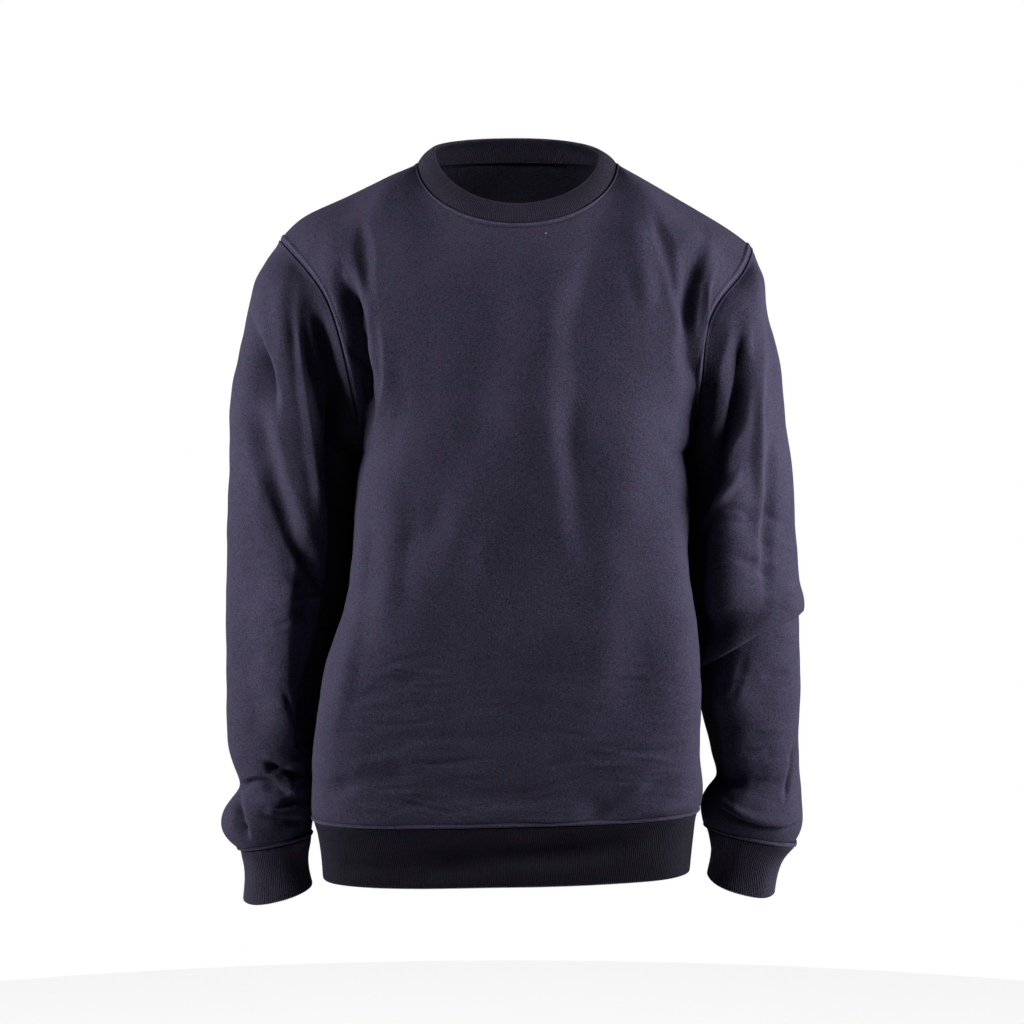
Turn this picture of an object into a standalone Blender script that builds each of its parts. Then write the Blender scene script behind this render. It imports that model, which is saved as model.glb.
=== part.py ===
"""Crewneck sweatshirt of brushed fleece, size L, filled out and hanging as on a wearer who isn't there.

Metres, +Z up, the front faces -Y. The origin is in the middle of the neck, level with the high
shoulder points, where neck and shoulders hold the garment. Right and left are the wearer's, so
right is -X. Each piece is a thin wall: its outer skin is a loft through the sections tabled
below, with the folds pressed in, and its inner skin follows one wall thickness inside.
"""

from collections import namedtuple

import bpy
import numpy as np

# ---------------------------------------------------------------- driving dimensions
FLEECE_WALL = 0.0020      # brushed fleece
RIB_WALL = 0.0018         # 1x1 rib, under its ridges
RIB_HEIGHT = 0.0007
SEAM_GAP = 0.0003         # between the edges of two sewn pieces
ARMPIT_LEAN = 0.8         # how far the walls of body and sleeve lean apart where they meet face to face

BAND_BOW_OUT = 0.0016     # how far the neckband bows out half way up
BAND_BOW_UP = 0.0012

NECK_SHARE = 0.50         # share of a panel's half width, on its top edge, that is neckline
ARMPIT_SHARE = 0.30       # share of a panel's length, down its side, that is armhole

# How finely each piece is divided.
ARMHOLE_STEPS = 11
SIDE_STEPS = 11
SLEEVE_STEPS = 22
NECK_STEPS = {"front": 16, "back": 12}
SHOULDER_STEPS = 9
RIBS_PER_STEP = {"neckband": 4, "hem_band": 3, "cuff": 2}
BAND_ROWS = (0.0, 0.3, 1.0)
NECKBAND_ROWS = (1.0, 0.5, 0.0)
FOLD_STEPS = 24

RIGHT, LEFT = -1, 1
SIDE_NAMES = {RIGHT: "right", LEFT: "left"}

FLEECE_COLOUR = (0.0300, 0.0270, 0.0420)
RIB_COLOUR = (0.0150, 0.0140, 0.0220)
FLEECE_ROUGHNESS = 0.90
RIB_ROUGHNESS = 0.92

# ---------------------------------------------------------------- sections
# The neck seam and the upper edge of the band: (y, z) in the middle of the front and of the
# back, and at each side. A higher power makes a half rounder towards its middle.
NeckEdge = namedtuple("NeckEdge", "half_width front back right left")
NECK_SEAM = NeckEdge(0.0995, (-0.080, -0.0665), (0.070, 0.0120), (0.010, 0.0000), (0.010, 0.0000))
COLLAR = NeckEdge(0.0830, (-0.068, -0.0470), (0.059, 0.0315), (0.008, 0.0165), (0.008, 0.0115))
NECK_POWER = {"front": 1.10, "back": 1.00}

# Armhole seam: x is measured outwards from the middle. Front and back run from the shoulder
# point down to the armpit, and share both ends.
Point = namedtuple("Point", "x y z")
ARMHOLE = {
    (RIGHT, "front"): (
        Point(0.2360, 0.004, -0.0755),
        Point(0.2150, -0.036, -0.0980),
        Point(0.1850, -0.064, -0.1380),
        Point(0.1690, -0.072, -0.1860),
        Point(0.1590, -0.060, -0.2380),
        Point(0.1540, -0.030, -0.2740),
        Point(0.1530, 0.012, -0.2860),
    ),
    (RIGHT, "back"): (
        Point(0.2360, 0.004, -0.0755),
        Point(0.2200, 0.046, -0.0930),
        Point(0.1980, 0.078, -0.1280),
        Point(0.1810, 0.095, -0.1760),
        Point(0.1680, 0.090, -0.2280),
        Point(0.1570, 0.056, -0.2720),
        Point(0.1530, 0.012, -0.2860),
    ),
    (LEFT, "front"): (
        Point(0.2340, 0.004, -0.0830),
        Point(0.2225, -0.024, -0.1090),
        Point(0.1980, -0.052, -0.1380),
        Point(0.1850, -0.061, -0.1640),
        Point(0.1810, -0.062, -0.2020),
        Point(0.1775, -0.046, -0.2460),
        Point(0.1730, -0.018, -0.2750),
        Point(0.1660, 0.012, -0.2860),
    ),
    (LEFT, "back"): (
        Point(0.2340, 0.004, -0.0830),
        Point(0.2180, 0.046, -0.0980),
        Point(0.1970, 0.078, -0.1310),
        Point(0.1820, 0.095, -0.1780),
        Point(0.1720, 0.090, -0.2300),
        Point(0.1680, 0.056, -0.2720),
        Point(0.1660, 0.012, -0.2860),
    ),
}

# The shoulder seam rises above the straight line from the neck to the shoulder point.
Rise = namedtuple("Rise", "share right left")
SHOULDER_RISE = (
    Rise(0.00, 0.0000, 0.0000),
    Rise(0.30, 0.0035, 0.0015),
    Rise(0.50, 0.0052, 0.0024),
    Rise(0.70, 0.0078, 0.0030),
    Rise(0.87, 0.0075, 0.0026),
    Rise(1.00, 0.0000, 0.0000),
)

# Below the top edge a panel rolls off the shoulders through two more sections, given for the
# right half by the share across it. The left half is the same, lowered with its shoulder seam.
Place = namedtuple("Place", "across x y z")
YOKE = {
    "front": {
        0.060: (
            Place(0.00, 0.0000, -0.0930, -0.0965),
            Place(0.15, 0.0455, -0.0845, -0.0875),
            Place(0.30, 0.0810, -0.0610, -0.0630),
            Place(0.42, 0.1035, -0.0360, -0.0370),
            Place(0.50, 0.1150, -0.0240, -0.0230),
            Place(0.60, 0.1330, -0.0255, -0.0245),
            Place(0.75, 0.1690, -0.0280, -0.0435),
            Place(0.88, 0.1995, -0.0285, -0.0625),
            Place(1.00, 0.2195, -0.0290, -0.0945),
        ),
        0.115: (
            Place(0.00, 0.0000, -0.1070, -0.1345),
            Place(0.15, 0.0400, -0.1030, -0.1290),
            Place(0.30, 0.0790, -0.0910, -0.1100),
            Place(0.42, 0.1065, -0.0780, -0.0890),
            Place(0.50, 0.1215, -0.0700, -0.0780),
            Place(0.60, 0.1390, -0.0640, -0.0710),
            Place(0.75, 0.1690, -0.0610, -0.0780),
            Place(0.88, 0.1900, -0.0580, -0.0940),
            Place(1.00, 0.1985, -0.0530, -0.1170),
        ),
    },
    "back": {
        0.060: (
            Place(0.00, 0.0000, 0.0850, -0.0240),
            Place(0.15, 0.0455, 0.0800, -0.0245),
            Place(0.30, 0.0815, 0.0660, -0.0225),
            Place(0.42, 0.1040, 0.0500, -0.0195),
            Place(0.50, 0.1155, 0.0440, -0.0190),
            Place(0.60, 0.1330, 0.0430, -0.0240),
            Place(0.75, 0.1690, 0.0440, -0.0420),
            Place(0.88, 0.2000, 0.0420, -0.0610),
            Place(1.00, 0.2235, 0.0370, -0.0870),
        ),
        0.115: (
            Place(0.00, 0.0000, 0.1030, -0.0780),
            Place(0.15, 0.0420, 0.1010, -0.0780),
            Place(0.30, 0.0800, 0.0950, -0.0740),
            Place(0.42, 0.1060, 0.0880, -0.0680),
            Place(0.50, 0.1210, 0.0850, -0.0650),
            Place(0.60, 0.1390, 0.0830, -0.0650),
            Place(0.75, 0.1690, 0.0810, -0.0740),
            Place(0.88, 0.1930, 0.0760, -0.0900),
            Place(1.00, 0.2050, 0.0680, -0.1130),
        ),
    },
}

# Sections between the armholes: truncated superellipses from armhole to armhole.
Chest = namedtuple("Chest", "down armhole z_middle y_middle wrap")
CHEST = {
    "front": (Chest(0.180, 0.60, -0.192, -0.119, 62.0), Chest(0.240, 0.80, -0.240, -0.127, 74.0)),
    "back": (Chest(0.180, 0.60, -0.180, 0.122, 64.0), Chest(0.240, 0.80, -0.232, 0.129, 76.0)),
}

# Rings round the whole body below the armpits, and round the hem band.
Ring = namedtuple("Ring", "down z_right z_left x_right x_left y_front y_back y_side power")
BODY = (
    Ring(0.300, -0.2860, -0.2860, 0.1530, 0.1660, -0.1310, 0.1320, 0.012, 2.30),
    Ring(0.360, -0.3300, -0.3300, 0.1590, 0.1720, -0.1320, 0.1300, -0.014, 2.35),
    Ring(0.440, -0.3800, -0.3800, 0.1610, 0.1690, -0.1310, 0.1270, -0.030, 2.40),
    Ring(0.530, -0.4350, -0.4350, 0.1695, 0.1735, -0.1300, 0.1240, -0.036, 2.40),
    Ring(0.630, -0.4870, -0.4870, 0.1855, 0.1785, -0.1300, 0.1240, -0.036, 2.40),
    Ring(0.730, -0.5370, -0.5350, 0.1950, 0.1790, -0.1320, 0.1260, -0.034, 2.40),
    Ring(0.830, -0.5850, -0.5800, 0.2015, 0.1780, -0.1360, 0.1300, -0.030, 2.40),
    Ring(0.910, -0.6200, -0.6120, 0.2030, 0.1825, -0.1400, 0.1330, -0.026, 2.40),
    Ring(0.965, -0.6400, -0.6300, 0.2035, 0.1820, -0.1385, 0.1310, -0.024, 2.40),
    Ring(1.000, -0.6495, -0.6405, 0.2015, 0.1785, -0.1345, 0.1270, -0.022, 2.40),
)
HEM_BAND = (
    Ring(0.00, -0.6495, -0.6405, 0.2015, 0.1785, -0.1345, 0.1270, -0.022, 2.40),
    Ring(0.45, -0.6770, -0.6690, 0.1960, 0.1740, -0.1320, 0.1245, -0.020, 2.40),
    Ring(1.00, -0.7060, -0.6990, 0.1930, 0.1710, -0.1300, 0.1220, -0.020, 2.40),
)

# Rings down a sleeve and its cuff: the outer and the inner edge, seen from the front, and how
# far the ring reaches forward and back. x is measured outwards from the middle of the body.
# twist moves the inner edge back and the outer edge forward; droop lowers the front edge.
Cut = namedtuple("Cut", "down x_outer z_outer x_inner z_inner y_front y_back twist droop")
SLEEVE = {
    RIGHT: (
        Cut(0.055, 0.2505, -0.0960, 0.1570, -0.2930, -0.0790, 0.099, 0.004, 0.0),
        Cut(0.130, 0.2650, -0.1360, 0.1595, -0.3040, -0.0820, 0.103, 0.010, 0.0),
        Cut(0.220, 0.2765, -0.1900, 0.1600, -0.3200, -0.0825, 0.104, 0.017, 0.0),
        Cut(0.310, 0.2840, -0.2520, 0.1600, -0.3420, -0.0780, 0.104, 0.022, 0.0),
        Cut(0.400, 0.2868, -0.3150, 0.1610, -0.3740, -0.0710, 0.102, 0.026, 0.0),
        Cut(0.490, 0.2873, -0.3780, 0.1645, -0.4160, -0.0620, 0.101, 0.028, 0.0),
        Cut(0.580, 0.2898, -0.4400, 0.1755, -0.4600, -0.0520, 0.098, 0.028, 0.0),
        Cut(0.670, 0.2912, -0.5000, 0.1900, -0.5060, -0.0460, 0.090, 0.026, 0.0),
        Cut(0.760, 0.2903, -0.5560, 0.2045, -0.5560, -0.0440, 0.077, 0.020, 0.0),
        Cut(0.840, 0.2855, -0.6020, 0.2090, -0.5980, -0.0450, 0.066, 0.012, 0.0),
        Cut(0.885, 0.2800, -0.6220, 0.2085, -0.6190, -0.0455, 0.060, 0.008, 0.0),
        Cut(0.930, 0.2930, -0.6440, 0.2070, -0.6380, -0.0490, 0.058, 0.006, 0.0),
        Cut(0.965, 0.2955, -0.6640, 0.2060, -0.6540, -0.0480, 0.052, 0.003, 0.0),
        Cut(1.000, 0.2775, -0.6850, 0.2065, -0.6715, -0.0400, 0.034, 0.000, 0.0),
    ),
    LEFT: (
        Cut(0.055, 0.2405, -0.1010, 0.1690, -0.2930, -0.0780, 0.099, 0.004, 0.0),
        Cut(0.130, 0.2480, -0.1400, 0.1715, -0.3040, -0.0810, 0.103, 0.010, 0.0),
        Cut(0.220, 0.2575, -0.1910, 0.1720, -0.3200, -0.0805, 0.104, 0.017, 0.0),
        Cut(0.310, 0.2672, -0.2520, 0.1715, -0.3420, -0.0770, 0.104, 0.022, 0.0),
        Cut(0.400, 0.2740, -0.3150, 0.1710, -0.3740, -0.0700, 0.102, 0.026, 0.0),
        Cut(0.490, 0.2790, -0.3780, 0.1720, -0.4160, -0.0600, 0.101, 0.028, 0.0),
        Cut(0.580, 0.2825, -0.4400, 0.1755, -0.4600, -0.0500, 0.098, 0.028, 0.0),
        Cut(0.670, 0.2835, -0.5000, 0.1800, -0.5060, -0.0440, 0.090, 0.026, 0.0),
        Cut(0.760, 0.2840, -0.5560, 0.1890, -0.5560, -0.0420, 0.077, 0.018, 0.0),
        Cut(0.840, 0.2835, -0.6020, 0.2000, -0.5980, -0.0440, 0.066, 0.010, 0.0),
        Cut(0.885, 0.2840, -0.6200, 0.2025, -0.6160, -0.0460, 0.060, 0.006, 0.0),
        Cut(0.930, 0.2855, -0.6400, 0.1890, -0.6320, -0.0500, 0.058, 0.003, 0.0),
        Cut(0.965, 0.2865, -0.6620, 0.1870, -0.6490, -0.0500, 0.054, 0.000, 0.0),
        Cut(1.000, 0.2790, -0.6820, 0.1905, -0.6630, -0.0440, 0.040, 0.000, 0.0),
    ),
}
CUFF = {
    RIGHT: (
        Cut(0.00, 0.2775, -0.6850, 0.2065, -0.6715, -0.0400, 0.034, 0.000, 0.000),
        Cut(0.30, 0.2735, -0.7000, 0.2095, -0.6860, -0.0365, 0.029, 0.000, 0.001),
        Cut(1.00, 0.2745, -0.7350, 0.2050, -0.7190, -0.0385, 0.028, 0.000, 0.006),
    ),
    LEFT: (
        Cut(0.00, 0.2790, -0.6820, 0.1905, -0.6630, -0.0440, 0.040, 0.000, 0.000),
        Cut(0.30, 0.2665, -0.6960, 0.1935, -0.6790, -0.0385, 0.031, 0.000, 0.001),
        Cut(1.00, 0.2590, -0.7280, 0.1915, -0.7120, -0.0385, 0.028, 0.000, 0.006),
    ),
}
SLEEVE_POWER = 2.2
CHEST_POWER = 2.3
SIDE_PULL_START = 0.45    # share across a half panel from which it bends to meet its side seam

# ---------------------------------------------------------------- folds
# Soft troughs and ridges, pressed into the skin that faces front or back. path is (x, z) as
# seen from the front; height is negative in a trough.
Fold = namedtuple("Fold", "piece face half_width height path")
FOLDS = (
    # beside the armholes the chest stands proud of the cloth that is drawn in to the armpit
    Fold("front", "front", 0.024, -0.018,
         ((-0.172, -0.098), (-0.158, -0.128), (-0.151, -0.165), (-0.144, -0.210), (-0.138, -0.262))),
    Fold("front", "front", 0.022, 0.008,
         ((-0.136, -0.092), (-0.124, -0.150), (-0.118, -0.205), (-0.126, -0.255), (-0.138, -0.320))),
    Fold("front", "front", 0.022, -0.013,
         ((0.172, -0.090), (0.160, -0.118), (0.152, -0.155), (0.150, -0.195), (0.150, -0.262))),
    Fold("front", "front", 0.018, 0.008,
         ((0.178, -0.125), (0.171, -0.150), (0.168, -0.190), (0.166, -0.240), (0.160, -0.300))),
    # drag lines from the neck down across the chest
    Fold("front", "front", 0.034, 0.007,
         ((0.080, -0.062), (0.060, -0.126), (0.042, -0.176), (0.026, -0.250))),
    Fold("front", "front", 0.038, -0.006,
         ((0.040, -0.095), (0.004, -0.180), (-0.022, -0.262), (-0.040, -0.360))),
    Fold("front", "front", 0.040, 0.006, ((-0.060, -0.250), (-0.105, -0.400), (-0.150, -0.560))),
    Fold("front", "front", 0.040, 0.005, ((0.060, -0.280), (0.100, -0.420), (0.130, -0.560))),
    # slack that lies on the hem band
    Fold("front", "front", 0.022, -0.007,
         ((0.020, -0.622), (0.079, -0.615), (0.126, -0.601), (0.170, -0.584))),
    Fold("front", "front", 0.022, -0.004, ((-0.165, -0.560), (-0.090, -0.568), (-0.020, -0.580))),
    # the same on the back, with the hollow between the shoulder blades
    Fold("back", "back", 0.045, -0.010, ((0.000, -0.060), (0.004, -0.160), (0.002, -0.280))),
    Fold("back", "back", 0.024, -0.013,
         ((-0.178, -0.110), (-0.158, -0.155), (-0.148, -0.215), (-0.142, -0.290))),
    Fold("back", "back", 0.024, -0.013,
         ((0.178, -0.115), (0.160, -0.160), (0.152, -0.215), (0.148, -0.290))),
    Fold("back", "back", 0.032, 0.008, ((-0.110, -0.120), (-0.100, -0.230), (-0.060, -0.370))),
    Fold("back", "back", 0.032, 0.007, ((0.115, -0.130), (0.096, -0.240), (0.050, -0.350))),
    Fold("back", "back", 0.024, -0.008,
         ((-0.150, -0.430), (-0.060, -0.465), (0.040, -0.470), (0.140, -0.440))),
    Fold("back", "back", 0.022, -0.007, ((-0.165, -0.530), (-0.070, -0.555), (0.030, -0.560))),
    Fold("back", "back", 0.022, -0.006, ((-0.040, -0.598), (0.060, -0.602), (0.150, -0.585))),
    # right sleeve: two long folds from the shoulder, then slack bunched above the cuff
    Fold("sleeve_right", "front", 0.032, -0.015,
         ((-0.212, -0.150), (-0.202, -0.205), (-0.195, -0.260), (-0.192, -0.335), (-0.200, -0.430))),
    Fold("sleeve_right", "front", 0.028, -0.008,
         ((-0.258, -0.160), (-0.247, -0.215), (-0.247, -0.285), (-0.240, -0.345), (-0.222, -0.400))),
    Fold("sleeve_right", "front", 0.016, -0.007,
         ((-0.285, -0.572), (-0.262, -0.590), (-0.236, -0.592), (-0.212, -0.598))),
    Fold("sleeve_right", "front", 0.014, -0.006,
         ((-0.284, -0.622), (-0.256, -0.620), (-0.232, -0.628), (-0.212, -0.624))),
    Fold("sleeve_right", "back", 0.028, -0.012,
         ((-0.215, -0.160), (-0.210, -0.230), (-0.218, -0.320), (-0.235, -0.400))),
    Fold("sleeve_right", "back", 0.020, -0.008, ((-0.282, -0.440), (-0.245, -0.462), (-0.205, -0.455))),
    Fold("sleeve_right", "back", 0.015, -0.006, ((-0.284, -0.606), (-0.250, -0.612), (-0.214, -0.604))),
    # left sleeve: upper arm slumped over the elbow, and a roll above the cuff
    Fold("sleeve_left", "front", 0.026, 0.006,
         ((0.240, -0.140), (0.243, -0.180), (0.242, -0.220), (0.238, -0.270), (0.235, -0.350))),
    Fold("sleeve_left", "front", 0.026, -0.014,
         ((0.222, -0.160), (0.213, -0.205), (0.209, -0.262), (0.200, -0.312), (0.190, -0.360))),
    Fold("sleeve_left", "front", 0.024, 0.009,
         ((0.282, -0.420), (0.244, -0.434), (0.214, -0.450), (0.186, -0.478))),
    Fold("sleeve_left", "front", 0.022, -0.010,
         ((0.282, -0.452), (0.240, -0.468), (0.210, -0.486), (0.188, -0.512))),
    Fold("sleeve_left", "front", 0.014, -0.007,
         ((0.198, -0.618), (0.222, -0.628), (0.246, -0.632), (0.270, -0.630), (0.283, -0.624))),
    Fold("sleeve_left", "back", 0.028, -0.012,
         ((0.214, -0.165), (0.208, -0.235), (0.216, -0.320), (0.232, -0.400))),
    Fold("sleeve_left", "back", 0.020, -0.009, ((0.278, -0.452), (0.240, -0.470), (0.198, -0.462))),
    Fold("sleeve_left", "back", 0.015, -0.006, ((0.196, -0.612), (0.240, -0.618), (0.282, -0.610))),
)
FACING = {"front": -1.0, "back": 1.0}
FULLY_FACING = 0.85       # a fold fades out where the skin turns away from its face
FOLD_TAPER = 0.25         # share of a fold's length over which each end runs out
FOLD_END = 0.15           # share of its height that is left at the very end
SPLIT_WAY = np.array([0.53, 0.62, 0.58])  # any direction that no seam runs square to


# ---------------------------------------------------------------- curves and lofts
def curve(knots, values, at):
    """A natural cubic spline through values at rising knots, read at the given places."""
    knots = np.asarray(knots, float)
    values = np.asarray(values, float)
    step = np.diff(knots)
    system = np.eye(len(knots))
    slope = np.diff(values.reshape(len(knots), -1), axis=0) / step[:, None]
    right = np.zeros_like(values.reshape(len(knots), -1))
    for i in range(1, len(knots) - 1):
        system[i, i - 1:i + 2] = step[i - 1], 2 * (step[i - 1] + step[i]), step[i]
        right[i] = 6 * (slope[i] - slope[i - 1])
    bend = np.linalg.solve(system, right)
    flat = values.reshape(len(knots), -1)
    at = np.asarray(at, float)
    i = np.clip(np.searchsorted(knots, at, side="right") - 1, 0, len(knots) - 2)
    width = step[i][:, None]
    t = (at - knots[i])[:, None]
    left = width - t
    result = (bend[i] * left**3 + bend[i + 1] * t**3) / (6 * width)
    result += (flat[i] / width - bend[i] * width / 6) * left
    result += (flat[i + 1] / width - bend[i + 1] * width / 6) * t
    return result.reshape(at.shape + values.shape[1:])


def length_along(points):
    """How far along a line each of its points lies."""
    steps = np.linalg.norm(np.diff(points, axis=0), axis=1)
    return np.concatenate([[0.0], np.cumsum(steps)])


def loft(sections, downs, at):
    """A grid of points: a smooth line down each column of the sections, read at the shares given."""
    columns = []
    for column in np.swapaxes(np.asarray(sections), 0, 1):
        lengths = length_along(column)
        columns.append(curve(lengths, column, np.interp(at, downs, lengths)))
    return np.swapaxes(np.array(columns), 0, 1)


def smooth_step(x):
    x = np.clip(x, 0.0, 1.0)
    return x * x * (3 - 2 * x)


# ---------------------------------------------------------------- seam lines
def armhole(side, panel, shares):
    """Points of the armhole seam, from the shoulder point (0) to the armpit (1)."""
    other = {"front": "back", "back": "front"}[panel]
    here = ARMHOLE[side, panel]
    there = ARMHOLE[side, other]
    loop = np.array(there[2:0:-1] + here + there[-2:-4:-1])  # runs on past both ends
    lengths = length_along(loop)
    first, last = lengths[2], lengths[-3]
    points = curve(lengths, loop, first + (last - first) * np.asarray(shares, float))
    return points * (side, 1, 1)


def neckline(edge, panel, shares):
    """The front or back half of a neck ring; shares run from -1 on the right to 1 on the left."""
    angle = np.abs(shares) * np.pi / 2
    x = edge.half_width * np.sin(angle) * np.sign(shares)
    side = np.where(np.asarray(shares)[:, None] < 0, edge.right, edge.left)
    swell = np.cos(angle)[:, None] ** NECK_POWER[panel]
    y_z = side + (np.array(getattr(edge, panel)) - side) * swell
    return np.column_stack([x, y_z])


def top_edge(panel, across):
    """The neckline, with a shoulder seam on each side of it."""
    across = np.asarray(across, float)
    points = neckline(NECK_SEAM, panel, np.clip(across / NECK_SHARE, -1, 1))
    for side in (RIGHT, LEFT):
        on = side * across > NECK_SHARE
        share = (side * across[on] - NECK_SHARE) / (1 - NECK_SHARE)
        start = neckline(NECK_SEAM, panel, np.array([float(side)]))
        end = armhole(side, panel, [0.0])
        points[on] = start + (end - start) * share[:, None]
        rises = [getattr(row, SIDE_NAMES[side]) for row in SHOULDER_RISE]
        points[on, 2] += curve([row.share for row in SHOULDER_RISE], rises, share)
    return points


# ---------------------------------------------------------------- body sections
def arc(across, wrap, power):
    """Sideways and forward shares round part of a superellipse; wrap is its half angle."""
    angle = np.radians(wrap) * np.abs(across)
    end = np.radians(wrap)
    sideways = np.sign(across) * (np.sin(angle) / np.sin(end)) ** (2 / power)
    tip = np.cos(end) ** (2 / power)
    forward = (np.cos(angle).clip(0) ** (2 / power) - tip) / (1 - tip)
    return sideways, forward


def ring_section(row, panel, across):
    sideways, forward = arc(across, 90.0, row.power)
    x = (row.x_left - row.x_right) / 2 + (row.x_left + row.x_right) / 2 * sideways
    depth = row.y_front if panel == "front" else row.y_back
    y = row.y_side + (depth - row.y_side) * forward
    z = row.z_right + (row.z_left - row.z_right) * (x + row.x_right) / (row.x_left + row.x_right)
    return np.column_stack([x, y, z])


def chest_section(row, panel, across):
    right = armhole(RIGHT, panel, [row.armhole])[0]
    left = armhole(LEFT, panel, [row.armhole])[0]
    sideways, forward = arc(across, row.wrap, CHEST_POWER)
    line = right + (left - right) * ((sideways + 1) / 2)[:, None]
    middle = np.column_stack([line[:, 0], np.full(len(line), row.y_middle), np.full(len(line), row.z_middle)])
    return line + (middle - line) * forward[:, None]


def yoke_section(places, panel, across):
    half = np.abs(across)
    points = curve([place.across for place in places], [place[1:] for place in places], half)
    points[:, 2] += top_edge(panel, across)[:, 2] - top_edge(panel, -half)[:, 2]
    points[:, 0] *= np.sign(across)
    return points


def side_seam(side, down):
    """Both panels meet on this line, from the armpit to the hem band."""
    points = [ring_section(row, "front", np.array([float(side)]))[0] for row in BODY]
    return loft(np.array(points)[:, None], [row.down for row in BODY], down)[:, 0]


def panel_grid(panel, across, down):
    """The front or back, from the shoulders to the hem band. Its sides follow the armholes."""
    ends = np.array([-1.0, 1.0])
    sections = {0.0: lambda u: top_edge(panel, u)}
    for share, places in YOKE[panel].items():
        sections[share] = lambda u, places=places: yoke_section(places, panel, u)
    for row in CHEST[panel]:
        sections[row.down] = lambda u, row=row: chest_section(row, panel, u)
    for row in BODY:
        sections[row.down] = lambda u, row=row: ring_section(row, panel, u)
    downs = sorted(sections)
    grid = loft([sections[share](across) for share in downs], downs, down)
    edges = loft([sections[share](ends) for share in downs], downs, down)
    upper = down <= ARMPIT_SHARE
    for k, side in enumerate((RIGHT, LEFT)):
        seam = [armhole(side, panel, down[upper] / ARMPIT_SHARE), side_seam(side, down[~upper])]
        pull = np.concatenate(seam) - edges[:, k]
        weight = smooth_step((side * across - SIDE_PULL_START) / (1 - SIDE_PULL_START))
        grid += pull[:, None, :] * weight[None, :, None]
    return grid


# ---------------------------------------------------------------- sleeves, cuffs and bands
def cut_section(row, side, turn):
    """A ring of a sleeve or cuff. turn is 0 at the outer edge, a quarter in front, a half inside."""
    angle = turn * 2 * np.pi
    across = np.sign(np.cos(angle)) * np.abs(np.cos(angle)) ** (2 / SLEEVE_POWER)
    along = np.sign(np.sin(angle)) * np.abs(np.sin(angle)) ** (2 / SLEEVE_POWER)
    x = (row.x_outer + row.x_inner) / 2 + (row.x_outer - row.x_inner) / 2 * across
    z = (row.z_outer + row.z_inner) / 2 + (row.z_outer - row.z_inner) / 2 * across
    y = (row.y_front + row.y_back) / 2 - (row.y_back - row.y_front) / 2 * along - row.twist * across
    return np.column_stack([side * x, y, z - row.droop * along])


def armhole_ring(side, turn):
    front = turn <= 0.5
    ring = np.zeros((len(turn), 3))
    ring[front] = armhole(side, "front", turn[front] * 2)
    ring[~front] = armhole(side, "back", 2 - turn[~front] * 2)
    return ring


def sleeve_grid(side, turn, down):
    sections = [armhole_ring(side, turn)]
    sections += [cut_section(row, side, turn) for row in SLEEVE[side]]
    return loft(sections, [0.0] + [row.down for row in SLEEVE[side]], down)


def cuff_grid(side, turn, down):
    rows = CUFF[side]
    return loft([cut_section(row, side, turn) for row in rows], [row.down for row in rows], down)


def round_body(front, back):
    """One closed ring of points from a front half and a back half that share their ends."""
    return np.concatenate([front[:-1], back[:0:-1]])


def hem_grid(across, down):
    rings = []
    for row in HEM_BAND:
        halves = [ring_section(row, panel, across[panel]) for panel in ("front", "back")]
        rings.append(round_body(*halves))
    return loft(rings, [row.down for row in HEM_BAND], down)


def neckband_grid(shares, up):
    """The band stands up from the neck seam and leans in, slightly bowed outwards."""
    seam, edge = (
        round_body(neckline(line, "front", shares["front"]), neckline(line, "back", shares["back"]))
        for line in (NECK_SEAM, COLLAR)
    )
    bowed = (seam + edge) / 2
    bowed += unit(bowed * (1, 1, 0)) * BAND_BOW_OUT + (0, 0, BAND_BOW_UP)
    return loft([seam, bowed, edge], [0.0, 0.5, 1.0], up)


# ---------------------------------------------------------------- skins
class Skin:
    """A grid of points: rows run down the piece, columns to the left across the front."""

    def __init__(self, name, grid, closed, turns_left=True, ribs=0):
        self.name = name
        self.grid = grid
        self.closed = closed
        self.sign = 1.0 if turns_left else -1.0
        self.ribs = ribs
        self.normals = self.own_normals()

    def own_normals(self):
        if self.closed:
            along = np.roll(self.grid, -1, axis=1) - np.roll(self.grid, 1, axis=1)
        else:
            along = np.gradient(self.grid, axis=1)
        return unit(np.cross(np.gradient(self.grid, axis=0), along)) * self.sign

    def rims(self):
        """Index loops round the open edges, with the piece on the same side all the way."""
        index = np.arange(self.grid.shape[0] * self.grid.shape[1]).reshape(self.grid.shape[:2])
        if self.closed:
            return [index[0], index[-1, ::-1]]
        return [np.concatenate([index[0, :-1], index[:-1, -1], index[-1, :0:-1], index[:0:-1, 0]])]

    def draw_back(self, distance):
        """Moves each open edge into its own piece, square to that edge and mitred at corners."""
        points = self.grid.reshape(-1, 3).copy()
        normals = self.normals.reshape(-1, 3)
        for rim in self.rims():
            line = points[rim]
            travel = unit(np.roll(line, -1, axis=0) - line)
            facing = unit(normals[rim] + np.roll(normals[rim], -1, axis=0))
            inward = unit(np.cross(travel, facing)) * self.sign
            mitre = inward + np.roll(inward, 1, axis=0)
            length = (mitre**2).sum(axis=1, keepdims=True).clip(0.8)
            points[rim] += mitre * (2 * distance / length)
        self.grid = points.reshape(self.grid.shape)


def unit(vectors):
    return vectors / np.maximum(np.linalg.norm(vectors, axis=-1, keepdims=True), 1e-12)


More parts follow.
